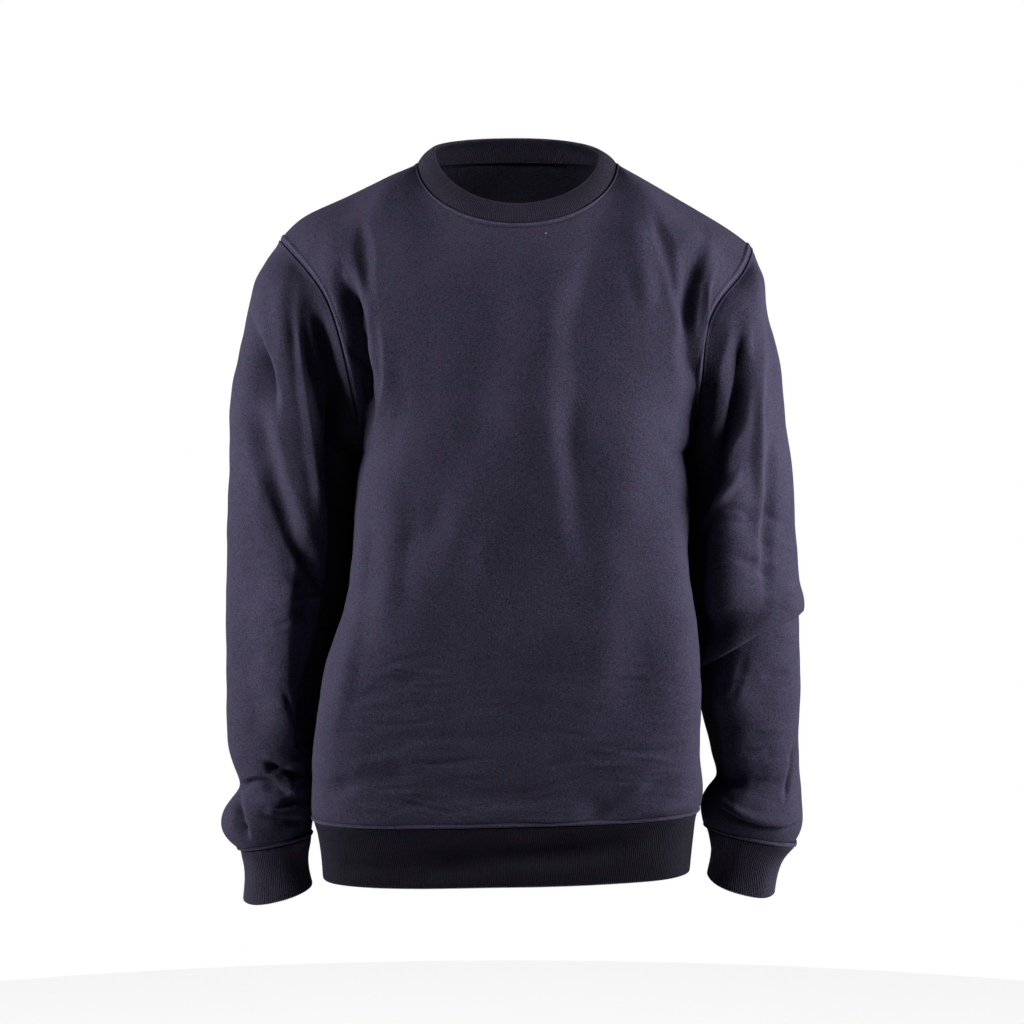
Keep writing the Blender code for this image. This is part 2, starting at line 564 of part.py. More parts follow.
def shared(skins, values):
    """The values summed over the points that lie together, where pieces are sewn."""
    places = np.concatenate([skin.grid.reshape(-1, 3) for skin in skins])
    keys = np.round(places * 1e5 + 0.37).astype(int)
    _, group = np.unique(keys, axis=0, return_inverse=True)
    group = group.reshape(-1)
    flat = np.concatenate([value.reshape(-1, 3) for value in values])
    total = np.zeros((group.max() + 1, 3))
    np.add.at(total, group, flat)
    count = np.bincount(group)[:, None]
    mean = (total / count)[group]
    ends = np.cumsum([0] + [value.shape[0] * value.shape[1] for value in values])
    return [mean[a:b].reshape(value.shape) for a, b, value in zip(ends, ends[1:], values)]


def fold_shift(skin):
    """How far the folds move each point of a skin."""
    shift = np.zeros(skin.grid.shape[:2])
    seen = skin.grid[..., (0, 2)]
    for fold in FOLDS:
        if fold.piece != skin.name:
            continue
        path = np.array(fold.path)
        knots = length_along(path)
        line = curve(knots, path, np.linspace(0, knots[-1], FOLD_STEPS + 1))
        starts, ends = line[:-1], line[1:]
        along = ends - starts
        gap = seen[..., None, :] - starts
        share = ((gap * along).sum(-1) / (along**2).sum(-1)).clip(0, 1)
        distance = np.linalg.norm(gap - share[..., None] * along, axis=-1)
        nearest = distance.argmin(-1)
        place = (nearest + np.take_along_axis(share, nearest[..., None], -1)[..., 0]) / FOLD_STEPS
        across = np.take_along_axis(distance, nearest[..., None], -1)[..., 0] / fold.half_width
        taper = smooth_step(place / FOLD_TAPER) * smooth_step((1 - place) / FOLD_TAPER)
        height = fold.height * (FOLD_END + (1 - FOLD_END) * taper)
        facing = smooth_step(skin.normals[..., 1] * FACING[fold.face] / FULLY_FACING)
        shift += height * np.cos(np.pi / 2 * across.clip(0, 1)) ** 2 * facing
    return skin.normals * shift[..., None]


# ---------------------------------------------------------------- solids
def ribbed(skin):
    """The outer points with fine columns between the coarse ones, every other one raised."""
    steps = 2 * skin.ribs
    following = np.roll(skin.grid, -1, axis=1)
    share = np.arange(steps) / steps
    fine = skin.grid[:, :, None] + (following - skin.grid)[:, :, None] * share[:, None]
    turn = np.roll(skin.normals, -1, axis=1) - skin.normals
    out = skin.normals[:, :, None] + turn[:, :, None] * share[:, None]
    fine = fine + out * (np.arange(steps) % 2)[:, None] * RIB_HEIGHT
    rows = skin.grid.shape[0]
    return fine.reshape(rows, -1, 3)


def split_alike(rim, points, first_inner):
    """Cuts a twisted edge face into two triangles, the same way on both sides of a seam."""
    if len(rim) > 4:
        return [rim]
    outer = [corner for corner in rim if corner < first_inner]
    start = max(outer, key=lambda corner: points[corner] @ SPLIT_WAY)
    k = rim.index(start)
    a, b, c, d = rim[k:] + rim[:k]
    return [(a, b, c), (a, c, d)]


def wall_object(skin, wall, material, collection):
    """A closed solid between the skin and its copy one wall inside."""
    outer = ribbed(skin) if skin.ribs else skin.grid
    inner = skin.grid - skin.normals * wall
    rows, inner_columns = inner.shape[:2]
    outer_columns = outer.shape[1]
    fine = outer_columns // inner_columns if skin.closed else 1
    last_inner = inner_columns if skin.closed else inner_columns - 1
    last_outer = outer_columns if skin.closed else outer_columns - 1
    base = rows * outer_columns

    def outside(row, column):
        return row * outer_columns + column % outer_columns

    def inside(row, column):
        return base + row * inner_columns + column % inner_columns

    faces = []
    rims = []
    for row in range(rows - 1):
        for column in range(last_outer):
            faces.append((outside(row, column), outside(row + 1, column),
                          outside(row + 1, column + 1), outside(row, column + 1)))
        for column in range(last_inner):
            faces.append((inside(row, column), inside(row, column + 1),
                          inside(row + 1, column + 1), inside(row + 1, column)))
    for column in range(last_inner):
        span = range(column * fine, column * fine + fine + 1)
        top = [outside(0, c) for c in span] + [inside(0, column + 1), inside(0, column)]
        bottom = [outside(rows - 1, c) for c in span]
        bottom += [inside(rows - 1, column + 1), inside(rows - 1, column)]
        rims += [top, bottom[::-1]]
    if not skin.closed:
        last = inner_columns - 1
        for row in range(rows - 1):
            rims.append((outside(row, 0), inside(row, 0), inside(row + 1, 0), outside(row + 1, 0)))
            rims.append((outside(row, last), outside(row + 1, last),
                         inside(row + 1, last), inside(row, last)))
    points = np.concatenate([outer.reshape(-1, 3), inner.reshape(-1, 3)])
    for rim in rims:
        faces += split_alike(rim, points, base)
    if skin.sign < 0:
        faces = [tuple(face)[::-1] for face in faces]

    mesh = bpy.data.meshes.new(skin.name)
    mesh.from_pydata(points.tolist(), [], faces)
    mesh.shade_smooth()
    mesh.set_sharp_from_angle(angle=np.radians(50))
    mesh.materials.append(material)
    obj = bpy.data.objects.new(skin.name, mesh)
    collection.objects.link(obj)
    return obj


def cloth_material(name, colour, roughness):
    material = bpy.data.materials.new(name)
    material.use_nodes = True
    shader = material.node_tree.nodes["Principled BSDF"]
    shader.inputs["Base Color"].default_value = (*colour, 1.0)
    shader.inputs["Roughness"].default_value = roughness
    shader.inputs["Metallic"].default_value = 0.0
    return material


# ---------------------------------------------------------------- the sweatshirt
def panel_columns(panel):
    """Where the columns of a panel lie across it, with one at each high shoulder point."""
    shoulder = np.linspace(NECK_SHARE, 1, SHOULDER_STEPS + 1)[1:]
    neck = np.linspace(-NECK_SHARE, NECK_SHARE, NECK_STEPS[panel] + 1)
    return np.concatenate([-shoulder[::-1], neck, shoulder])


def make_skins():
    armhole_rows = np.linspace(0, ARMPIT_SHARE, ARMHOLE_STEPS + 1)
    side_rows = np.linspace(ARMPIT_SHARE, 1, SIDE_STEPS + 1)[1:]
    down = np.concatenate([armhole_rows, side_rows])
    across = {panel: panel_columns(panel) for panel in ("front", "back")}
    neck = {panel: np.linspace(-1, 1, NECK_STEPS[panel] + 1) for panel in ("front", "back")}
    band_rows = np.array(BAND_ROWS)

    skins = [
        Skin("front", panel_grid("front", across["front"], down), closed=False),
        Skin("back", panel_grid("back", across["back"], down)[:, ::-1], closed=False),
        Skin("neckband", neckband_grid(neck, np.array(NECKBAND_ROWS)), True, True, RIBS_PER_STEP["neckband"]),
        Skin("hem_band", hem_grid(across, band_rows), True, True, RIBS_PER_STEP["hem_band"]),
    ]
    turn = np.arange(2 * ARMHOLE_STEPS) / (2 * ARMHOLE_STEPS)
    sleeve_rows = np.linspace(0, 1, SLEEVE_STEPS + 1)
    for side in (RIGHT, LEFT):
        name = SIDE_NAMES[side]
        left = side == RIGHT  # the right sleeve's rings turn the way the body's do
        skins.append(Skin(f"sleeve_{name}", sleeve_grid(side, turn, sleeve_rows), True, left))
        skins.append(Skin(f"cuff_{name}", cuff_grid(side, turn, band_rows), True, left,
                          RIBS_PER_STEP["cuff"]))
    return skins


def armhole_edges(skin):
    """Where in a skin's grid its armhole edges are, and how near each point is to the armpit."""
    if skin.name in ("front", "back"):
        near = smooth_step((np.linspace(0, 1, ARMHOLE_STEPS + 1) - 0.6) / 0.4)
        rows = slice(0, ARMHOLE_STEPS + 1)
        return [((rows, 0), near), ((rows, -1), near)]
    if skin.name.startswith("sleeve"):
        share = 1 - np.abs(np.arange(2 * ARMHOLE_STEPS) / ARMHOLE_STEPS - 1)
        return [((0, slice(None)), smooth_step((share - 0.6) / 0.4))]
    return []


def share_normals(skins):
    """Gives sewn edges one outward direction. Round an armhole it also points away from its middle,
    and at the armpit body and sleeve lean apart, because they lie face to face there."""
    body = [skin for skin in skins if not skin.name.startswith("sleeve")]
    for skin, normals in zip(body, shared(body, [skin.normals for skin in body])):
        skin.normals = unit(normals)
    own = [skin.normals.copy() for skin in skins]
    for skin in skins:
        for edge, _ in armhole_edges(skin):
            points = skin.grid[edge]
            turn = np.arange(2 * ARMHOLE_STEPS) / (2 * ARMHOLE_STEPS)
            ring = armhole_ring(np.sign(points[0, 0]), turn)
            skin.normals[edge] += unit(points - ring.mean(axis=0))
    for skin, normals in zip(skins, shared(skins, [skin.normals for skin in skins])):
        skin.normals = unit(normals)
    for skin, alone in zip(skins, own):
        for edge, near in armhole_edges(skin):
            skin.normals[edge] = unit(skin.normals[edge] + ARMPIT_LEAN * near[:, None] * alone[edge])


def main():
    for obj in list(bpy.data.objects):
        bpy.data.objects.remove(obj, do_unlink=True)
    collection = bpy.data.collections.new("crewneck_sweatshirt")
    bpy.context.scene.collection.children.link(collection)

    skins = make_skins()
    share_normals(skins)
    shifts = shared(skins, [fold_shift(skin) for skin in skins])
    for skin, shift in zip(skins, shifts):
        skin.grid = skin.grid + shift
        skin.normals = skin.own_normals()
    share_normals(skins)
    for skin in skins:
        skin.draw_back(SEAM_GAP / 2)

    for skin in skins:
        if skin.ribs:
            wall, colour, roughness = RIB_WALL, RIB_COLOUR, RIB_ROUGHNESS
        else:
            wall, colour, roughness = FLEECE_WALL, FLEECE_COLOUR, FLEECE_ROUGHNESS
        material = cloth_material(f"{skin.name}_cloth", colour, roughness)
        wall_object(skin, wall, material, collection)


main()
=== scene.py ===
"""Crewneck sweatshirt of brushed fleece, filled out and hanging as on a wearer who isn't there.

Metres, +Z up, the front faces -Y. Right and left are the wearer's, so right is -X. Tables that
are read through metres() give their lengths in millimetres.
"""

from collections import namedtuple

import bpy
import numpy as np
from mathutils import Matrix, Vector


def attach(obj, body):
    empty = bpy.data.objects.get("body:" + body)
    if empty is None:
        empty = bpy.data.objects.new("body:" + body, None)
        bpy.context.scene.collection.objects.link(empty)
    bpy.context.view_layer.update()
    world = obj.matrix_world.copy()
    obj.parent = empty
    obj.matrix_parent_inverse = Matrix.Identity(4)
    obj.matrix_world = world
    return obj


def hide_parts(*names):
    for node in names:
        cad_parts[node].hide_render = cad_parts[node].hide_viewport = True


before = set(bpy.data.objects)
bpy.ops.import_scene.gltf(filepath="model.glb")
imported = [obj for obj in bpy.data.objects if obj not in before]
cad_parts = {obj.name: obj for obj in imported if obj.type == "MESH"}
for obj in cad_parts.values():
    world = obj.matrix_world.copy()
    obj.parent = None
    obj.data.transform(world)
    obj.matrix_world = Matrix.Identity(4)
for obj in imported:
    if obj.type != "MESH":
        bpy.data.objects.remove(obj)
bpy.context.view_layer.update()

# ================================================================ camera
# Straight on to the front, a hand's width above the middle of the body, as a garment is shown in
# a shop's catalogue. The long lens keeps shoulders, hem and cuffs in proportion.
EYE = Vector((-0.005, -2.600, -0.235))
LOOKED_AT = Vector((-0.005, 0.0, -0.347))
PIXELS_PER_METRE = 1000
FRAME_PIXELS = 1024
SENSOR_WIDTH = 36.0

camera = bpy.data.objects.new("camera", bpy.data.cameras.new("camera"))
camera.location = EYE
camera.rotation_euler = (LOOKED_AT - EYE).to_track_quat("-Z", "Y").to_euler()
camera.data.sensor_width = SENSOR_WIDTH
camera.data.lens = SENSOR_WIDTH * PIXELS_PER_METRE * (LOOKED_AT - EYE).length / FRAME_PIXELS
bpy.context.scene.collection.objects.link(camera)
bpy.context.scene.camera = camera

# ================================================================ front and back
# Two panels of 300 g/m2 cotton fleece, smooth knitted face out and brushed inside, cut to one
# pattern but for the neck. They are overlocked at the shoulders and sides, and the cloth takes up
# the slack of a wearer's chest in long drag lines from the neck and beside the armholes.
RIGHT, LEFT = -1, 1
SIDE_NAMES = {RIGHT: "right", LEFT: "left"}
NECK_SHARE = 0.50        # share of a panel's half width, on its top edge, that is neckline
ARMPIT_SHARE = 0.30      # share of a panel's length, down its side, that is armhole
CHEST_POWER = 2.6
SIDE_PULL_START = 0.45   # share across a half panel from which it bends to meet its side seam


def metres(millimetres):
    return np.asarray(millimetres, float) / 1000


# A neck ring: (y, z) in the middle of the front and of the back, and at each side. A higher
# power makes a half rounder towards its middle.
NeckEdge = namedtuple("NeckEdge", "half_width front back right left")
NECK_SEAM = NeckEdge(0.0995, (-0.080, -0.0645), (0.070, 0.0120), (0.010, 0.0000), (0.010, 0.0000))
NECK_POWER = {"front": 1.10, "back": 1.00}

# Armhole seam, as x measured outwards from the middle, y and z. Front and back run from the
# shoulder point down to the armpit, and share both ends.
ARMHOLE = {
    (RIGHT, "front"): (
        (236, 4, -75.5), (215, -36, -98), (185, -64, -138), (169, -72, -186), (159, -60, -238),
        (154, -30, -274), (153, 12, -286),
    ),
    (RIGHT, "back"): (
        (236, 4, -75.5), (220, 46, -93), (198, 78, -128), (181, 95, -176), (168, 90, -228),
        (157, 56, -272), (153, 12, -286),
    ),
    (LEFT, "front"): (
        (234, 4, -83), (222.5, -24, -109), (198, -52, -138), (185, -61, -164), (181, -62, -202),
        (177.5, -46, -246), (173, -18, -275), (166, 12, -286),
    ),
    (LEFT, "back"): (
        (234, 4, -83), (218, 46, -98), (197, 78, -131), (182, 95, -178), (172, 90, -230),
        (168, 56, -272), (166, 12, -286),
    ),
}

# The shoulder seam rises above the straight line from the neck to the shoulder point.
RISE_SHARES = (0, 0.3, 0.5, 0.7, 0.87, 1)
SHOULDER_RISE = {RIGHT: (0, 3.5, 5.2, 7.8, 7.5, 0), LEFT: (0, 1.5, 2.4, 3, 2.6, 0)}

# Below the top edge a panel rolls off the shoulders through two more sections: x, y and z of the
# right half, at these shares across it. The left half is the same, lowered with its shoulder seam.
YOKE_SHARES = (0, 0.15, 0.3, 0.42, 0.5, 0.6, 0.75, 0.88, 1)
YOKE = {
    "front": {
        0.060: ((0, 45.5, 81, 103.5, 115, 133, 169, 199.5, 219.5),
                (-93, -84.5, -61, -36, -24, -25.5, -28, -28.5, -29),
                (-96.5, -87.5, -63, -37, -23, -24.5, -43.5, -62.5, -94.5)),
        0.115: ((0, 40, 79, 106.5, 121.5, 139, 169, 190, 198.5),
                (-107, -103, -91, -78, -70, -64, -61, -58, -53),
                (-134.5, -129, -110, -89, -78, -71, -78, -94, -117)),
    },
    "back": {
        0.060: ((0, 45.5, 81.5, 104, 115.5, 133, 169, 200, 223.5),
                (85, 80, 66, 50, 44, 43, 44, 42, 37),
                (-24, -24.5, -22.5, -19.5, -19, -24, -42, -61, -87)),
        0.115: ((0, 42, 80, 106, 121, 139, 169, 193, 205),
                (103, 101, 95, 88, 85, 83, 81, 76, 68),
                (-78, -78, -74, -68, -65, -65, -74, -90, -113)),
    },
}

# Sections between the armholes: truncated superellipses from armhole to armhole.
Chest = namedtuple("Chest", "down armhole z_middle y_middle wrap")
CHEST = {
    "front": (Chest(0.180, 0.60, -0.192, -0.119, 62.0), Chest(0.240, 0.80, -0.240, -0.127, 74.0)),
    "back": (Chest(0.180, 0.60, -0.180, 0.122, 64.0), Chest(0.240, 0.80, -0.232, 0.129, 76.0)),
}

# Rings round the whole body below the armpits.
Ring = namedtuple("Ring", "down z_right z_left x_right x_left y_front y_back y_side power")


def rings(*rows):
    return [Ring(row[0], *metres(row[1:-1]), row[-1]) for row in rows]


BODY = rings(
    (0.3, -286, -286, 153, 166, -131, 132, 12, 3.4),
    (0.36, -330, -330, 159, 172, -134.5, 130, -14, 3.3),
    (0.44, -380, -380, 161, 169, -136.5, 127, -30, 3.3),
    (0.53, -435, -435, 169.5, 173.5, -137, 124, -36, 3.5),
    (0.63, -487, -487, 185.5, 178.5, -136, 124, -36, 3.8),
    (0.73, -537, -535, 195, 179, -133.5, 126, -34, 4.2),
    (0.83, -585, -580, 201.5, 178, -129.5, 130, -30, 4),
    (0.91, -620, -612, 203, 182.5, -125.5, 133, -26, 3.5),
    (0.965, -640, -630, 203.5, 182, -123, 131, -24, 3.2),
    (1, -649.5, -640.5, 201.5, 178.5, -120.5, 127, -22, 3),
)


def curve(knots, values, at):
    """A natural cubic spline through values at rising knots, read at the given places."""
    knots, values, at = (np.asarray(numbers, float) for numbers in (knots, values, at))
    flat = values.reshape(len(knots), -1)
    step = np.diff(knots)
    slope = np.diff(flat, axis=0) / step[:, None]
    system, right = np.eye(len(knots)), np.zeros_like(flat)
    for i in range(1, len(knots) - 1):
        system[i, i - 1:i + 2] = step[i - 1], 2 * (step[i - 1] + step[i]), step[i]
        right[i] = 6 * (slope[i] - slope[i - 1])
    bend = np.linalg.solve(system, right)
    i = np.clip(np.searchsorted(knots, at, side="right") - 1, 0, len(knots) - 2)
    width = step[i][:, None]
    t = (at - knots[i])[:, None]
    left = width - t
    result = (bend[i] * left**3 + bend[i + 1] * t**3) / (6 * width)
    result += (flat[i] / width - bend[i] * width / 6) * left
    result += (flat[i + 1] / width - bend[i + 1] * width / 6) * t
    return result.reshape(at.shape + values.shape[1:])


def length_along(points):
    """How far along a line each of its points lies."""
    return np.concatenate([[0.0], np.cumsum(np.linalg.norm(np.diff(points, axis=0), axis=1))])


def loft(sections, downs, at):
    """A grid of points: a smooth line down each column of the sections, read at these shares."""
    columns = []
    for column in np.swapaxes(np.asarray(sections), 0, 1):
        lengths = length_along(column)
        columns.append(curve(lengths, column, np.interp(at, downs, lengths)))
    return np.swapaxes(np.array(columns), 0, 1)


def smooth_step(x):
    x = np.clip(x, 0.0, 1.0)
    return x * x * (3 - 2 * x)


def armhole(side, panel, shares):
    """Points of the armhole seam, from the shoulder point (0) to the armpit (1)."""
    here = ARMHOLE[side, panel]
    there = ARMHOLE[side, {"front": "back", "back": "front"}[panel]]
    loop = metres(there[2:0:-1] + here + there[-2:-4:-1])   # runs on past both ends
    lengths = length_along(loop)
    first, last = lengths[2], lengths[-3]
    points = curve(lengths, loop, first + (last - first) * np.asarray(shares, float))
    return points * (side, 1, 1)


def neckline(edge, panel, shares):
    """The front or back half of a neck ring; shares run from -1 on the right to 1 on the left."""
    angle = np.abs(shares) * np.pi / 2
    x = edge.half_width * np.sin(angle) * np.sign(shares)
    side = np.where(np.asarray(shares)[:, None] < 0, edge.right, edge.left)
    swell = np.cos(angle)[:, None] ** NECK_POWER[panel]
    return np.column_stack([x, side + (np.array(getattr(edge, panel)) - side) * swell])


def top_edge(panel, across):
    """The neckline, with a shoulder seam on each side of it."""
    across = np.asarray(across, float)
    points = neckline(NECK_SEAM, panel, np.clip(across / NECK_SHARE, -1, 1))
    for side in (RIGHT, LEFT):
        on = side * across > NECK_SHARE
        share = (side * across[on] - NECK_SHARE) / (1 - NECK_SHARE)
        start = neckline(NECK_SEAM, panel, np.array([float(side)]))
        points[on] = start + (armhole(side, panel, [0.0]) - start) * share[:, None]
        points[on, 2] += curve(RISE_SHARES, metres(SHOULDER_RISE[side]), share)
    return points


def arc(across, wrap, power):
    """Sideways and forward shares round part of a superellipse; wrap is its half angle."""
    end = np.radians(wrap)
    angle = end * np.abs(across)
    sideways = np.sign(across) * (np.sin(angle) / np.sin(end)) ** (2 / power)
    tip = np.cos(end) ** (2 / power)
    return sideways, (np.cos(angle).clip(0) ** (2 / power) - tip) / (1 - tip)


def ring_section(row, panel, across):
    sideways, forward = arc(across, 90.0, row.power)
    x = (row.x_left - row.x_right) / 2 + (row.x_left + row.x_right) / 2 * sideways
    y = row.y_side + (getattr(row, "y_" + panel) - row.y_side) * forward
    z = row.z_right + (row.z_left - row.z_right) * (x + row.x_right) / (row.x_left + row.x_right)
    return np.column_stack([x, y, z])


def chest_section(row, panel, across):
    right, left = (armhole(side, panel, [row.armhole])[0] for side in (RIGHT, LEFT))
    sideways, forward = arc(across, row.wrap, CHEST_POWER)
    line = right + (left - right) * ((sideways + 1) / 2)[:, None]
    middle = line.copy()
    middle[:, 1:] = row.y_middle, row.z_middle
    return line + (middle - line) * forward[:, None]


def yoke_section(places, panel, across):
    half = np.abs(across)
    points = curve(YOKE_SHARES, metres(places).T, half)
    points[:, 2] += top_edge(panel, across)[:, 2] - top_edge(panel, -half)[:, 2]
    points[:, 0] *= np.sign(across)
    return points


def side_seam(side, down):
    """Both panels meet on this line, from the armpit to the hem band."""
    points = [ring_section(row, "front", np.array([float(side)])) for row in BODY]
    return loft(points, [row.down for row in BODY], down)[:, 0]


def panel_grid(panel, across, down):
    """The front or back, from the shoulders to the hem band. Its sides follow the armholes."""
    sections = [(0.0, top_edge, ())]
    sections += [(share, yoke_section, (places,)) for share, places in YOKE[panel].items()]
    sections += [(row.down, chest_section, (row,)) for row in CHEST[panel]]
    sections += [(row.down, ring_section, (row,)) for row in BODY]
    downs = [share for share, _, _ in sections]
    grid, edges = (loft([section(*of, panel, places) for _, section, of in sections], downs, down)
                   for places in (across, np.array([-1.0, 1.0])))
    upper = down <= ARMPIT_SHARE
    for k, side in enumerate((RIGHT, LEFT)):
        seam = [armhole(side, panel, down[upper] / ARMPIT_SHARE), side_seam(side, down[~upper])]
        pull = np.concatenate(seam) - edges[:, k]
        weight = smooth_step((side * across - SIDE_PULL_START) / (1 - SIDE_PULL_START))
        grid += pull[:, None, :] * weight[None, :, None]
    return grid


# How close together the threads of the mesh lie: a step apart in the open, finer towards a seam,
# where its ridge and stitches need them.
MESH_STEP = 0.0023
SEAM_STEPS = metres((0, 0.5, 1, 1.6, 2.3, 3.1, 4, 4.7, 5.4, 6.2, 7, 8, 9.2, 10.8))


def shares_along(start, stop, length, seam_at_start, seam_at_stop):
    """Shares from start to stop of a stretch of this length."""
    first = SEAM_STEPS if seam_at_start else np.zeros(1)
    last = length - (SEAM_STEPS[::-1] if seam_at_stop else np.zeros(1))
    count = max(2, int(round((last[0] - first[-1]) / MESH_STEP)) + 1)
    places = np.concatenate([first[:-1], np.linspace(first[-1], last[0], count), last[1:]])
    return start + (stop - start) * places / length


def unit(vectors):
    return vectors / np.maximum(np.linalg.norm(vectors, axis=-1, keepdims=True), 1e-12)


def outward(grid, closed):
    """The outward direction at each point of a cloth whose front columns run to the left."""
    if closed:
        along = np.roll(grid, -1, axis=1) - np.roll(grid, 1, axis=1)
    else:
        along = np.gradient(grid, axis=1)
    return unit(np.cross(np.gradient(grid, axis=0), along))


def from_edge(grid, edge):
    """Distance over the cloth from its top, bottom, first or last edge."""
    axis = 0 if edge in ("top", "bottom") else 1
    turned = np.flip(grid, axis) if edge in ("bottom", "last") else grid
    lengths = np.zeros(grid.shape[:2])
    steps = np.linalg.norm(np.diff(turned, axis=axis), axis=-1)
    np.swapaxes(lengths, 0, axis)[1:] = np.swapaxes(np.cumsum(steps, axis=axis), 0, axis)
    return np.flip(lengths, axis) if edge in ("bottom", "last") else lengths


# Folds are pressed into the cloth. Each row of a table is one: its half widths to the
# right and left of someone walking down it, so that it can be steep on one side, and its height;
# how crisp it is, from a soft swell (0) to a crease (1); and its path, x, z, x, z, from the front.
# No fold is quite even: width and height wander along it, by (amount, waves, shift) each.
Fold = namedtuple("Fold", "face right left height crisp path")
FACING = {"front": -1.0, "back": 1.0}
FULLY_FACING = 0.85    # how squarely cloth faces forward, or back, where a fold has its full height
FULLY_LAPPED = 0.30
PATH_STEPS = 32
SEARCH_MARGIN = 1.3    # a fold wanders no wider than this many times its half width
WIDTH_WANDER = ((0.16, 9.0, 2.1), (0.09, 23.0, 1.3))
HEIGHT_WANDER = ((0.18, 13.0, 0.7),)
FOLD_END = 0.12        # share of its height that a fold keeps at its ends
FOLD_TAPER = 0.25      # share of its length over which it rises
LAP_TAPER = 0.30


def folds_on(piece, table):
    return [Fold(face, *metres(row[:3]), row[3], metres(row[4:]).reshape(-1, 2))
            for (owner, face), rows in table.items() if owner == piece for row in rows]


def near_path(path, points, half_width):
    """Which points lie near a smooth path, how far from it, plus to its left, and where along."""
    reach = half_width * SEARCH_MARGIN
    low, high = np.min(path, axis=0) - reach, np.max(path, axis=0) + reach
    near = np.flatnonzero(((points > low) & (points < high)).all(1))
    points = points[near]
    knots = length_along(path)
    line = curve(knots, path, np.linspace(0, knots[-1], PATH_STEPS + 1))
    best = np.full(len(points), np.inf)
    share, side = np.zeros(len(points)), np.ones(len(points))
    for k, (start, way) in enumerate(zip(line, np.diff(line, axis=0))):
        gap = points - start
        t = (gap @ way / (way @ way)).clip(0, 1)
        distance = ((gap - t[:, None] * way) ** 2).sum(1)
        closer = distance < best
        best[closer] = distance[closer]
        share[closer] = (k + t[closer]) / PATH_STEPS
        side[closer] = np.sign(way[0] * gap[closer, 1] - way[1] * gap[closer, 0])
    return near, np.sqrt(best) * side, share


def fold_weight(normals, face, fully=FULLY_FACING):
    return smooth_step(normals[..., 1] * FACING[face] / fully)


def wandering(share, number, waves):
    return 1 + sum(amount * np.sin(count * share + shift * number) for amount, count, shift in waves)


def tapered(share, length):
    return smooth_step(share / length) * smooth_step((1 - share) / length)


def press_folds(grid, normals, folds):
    """How far each point of the cloth moves out along its normal."""
    moved = np.zeros(grid.shape[0] * grid.shape[1])
    seen = grid[..., (0, 2)].reshape(-1, 2)
    for number, fold in enumerate(folds):
        near, distance, share = near_path(fold.path, seen, max(fold.right, fold.left))
        width = np.where(distance > 0, fold.left, fold.right) * wandering(share, number, WIDTH_WANDER)
        height = fold.height * wandering(share, number, HEIGHT_WANDER)
        height *= FOLD_END + (1 - FOLD_END) * tapered(share, FOLD_TAPER)
        off = np.abs(distance / width).clip(0, 1)
        profile = (1 - fold.crisp) * np.cos(np.pi / 2 * off) ** 2 + fold.crisp * (1 - off) ** 2
        moved[near] += height * profile * fold_weight(normals.reshape(-1, 3)[near], fold.face)
    return moved.reshape(grid.shape[:2])


# Where slack cloth laps over itself its section is an S. Each row is a place across the fold,
# from the layer under it (-1) to the layer on top (1), and how far across and out that place goes.
LAP_SECTION = np.array([
    (-1.00, -1.00, 0.00), (-0.78, -0.76, -0.07), (-0.55, -0.48, -0.22), (-0.32, -0.20, -0.34),
    (-0.18, -0.12, -0.16), (-0.08, -0.24, 0.20), (0.00, -0.30, 0.60), (0.10, -0.20, 0.92),
    (0.24, 0.06, 1.00), (0.45, 0.38, 0.80), (0.72, 0.70, 0.32), (1.00, 1.00, 0.00),
])


def lap_over(grid, normals, laps):
    """How the cloth moves where it laps: to the left of each path is the layer on top."""
    moved = np.zeros_like(grid).reshape(-1, 3)
    seen = grid[..., (0, 2)].reshape(-1, 2)
    for face, reach, out, over, path in laps:
        near, distance, share = near_path(path, seen, reach)
        place = (distance / reach).clip(-1, 1)
        across, rise = (curve(LAP_SECTION[:, 0], LAP_SECTION[:, k], place) for k in (1, 2))
        n = normals.reshape(-1, 3)[near]
        taper = tapered(share, LAP_TAPER) * (np.abs(distance) < reach)
        taper = taper * fold_weight(n, face, FULLY_LAPPED)
        places = np.linspace(0, 1, len(path))
        ahead = unit(np.array([np.interp(share, places, np.gradient(path[:, k])) for k in (0, 1)]).T)
        leftward = np.column_stack([-ahead[:, 1], np.zeros(len(ahead)), ahead[:, 0]])
        leftward = unit(leftward - (leftward * n).sum(1)[:, None] * n)
        moved[near] += leftward * ((across - place) * reach * over * taper)[:, None]
        moved[near] += n * (rise * out * taper)[:, None]
    return moved.reshape(grid.shape)


CRUMPLE_SIZES = (0.7, 1.5)   # shortest and longest of its waves, against its size


def crumple(grid, size, height, seed, waves=9):
    """Soft unevenness with no direction, of about this size."""
    rng = np.random.default_rng(seed)
    ways = unit(rng.normal(size=(waves, 3))) * (2 * np.pi / size) * rng.uniform(*CRUMPLE_SIZES, (waves, 1))
    phases = rng.uniform(0, 2 * np.pi, waves)
    return height * np.sin(grid @ ways.T + phases).sum(-1) / np.sqrt(waves)


# Small wrinkles come in groups, spread about a centre (x, z), and are alike but uneven.
WRINKLE_TURN = 14              # degrees, either way from the tilt of their group
WRINKLE_HALF = (0.3, 0.65)     # half length, height and half widths, against the group's
WRINKLE_HEIGHT = (0.5, 1.2)
WRINKLE_WIDTH = (0.6, 1.4)
WRINKLE_BOW = 0.18             # against its half length


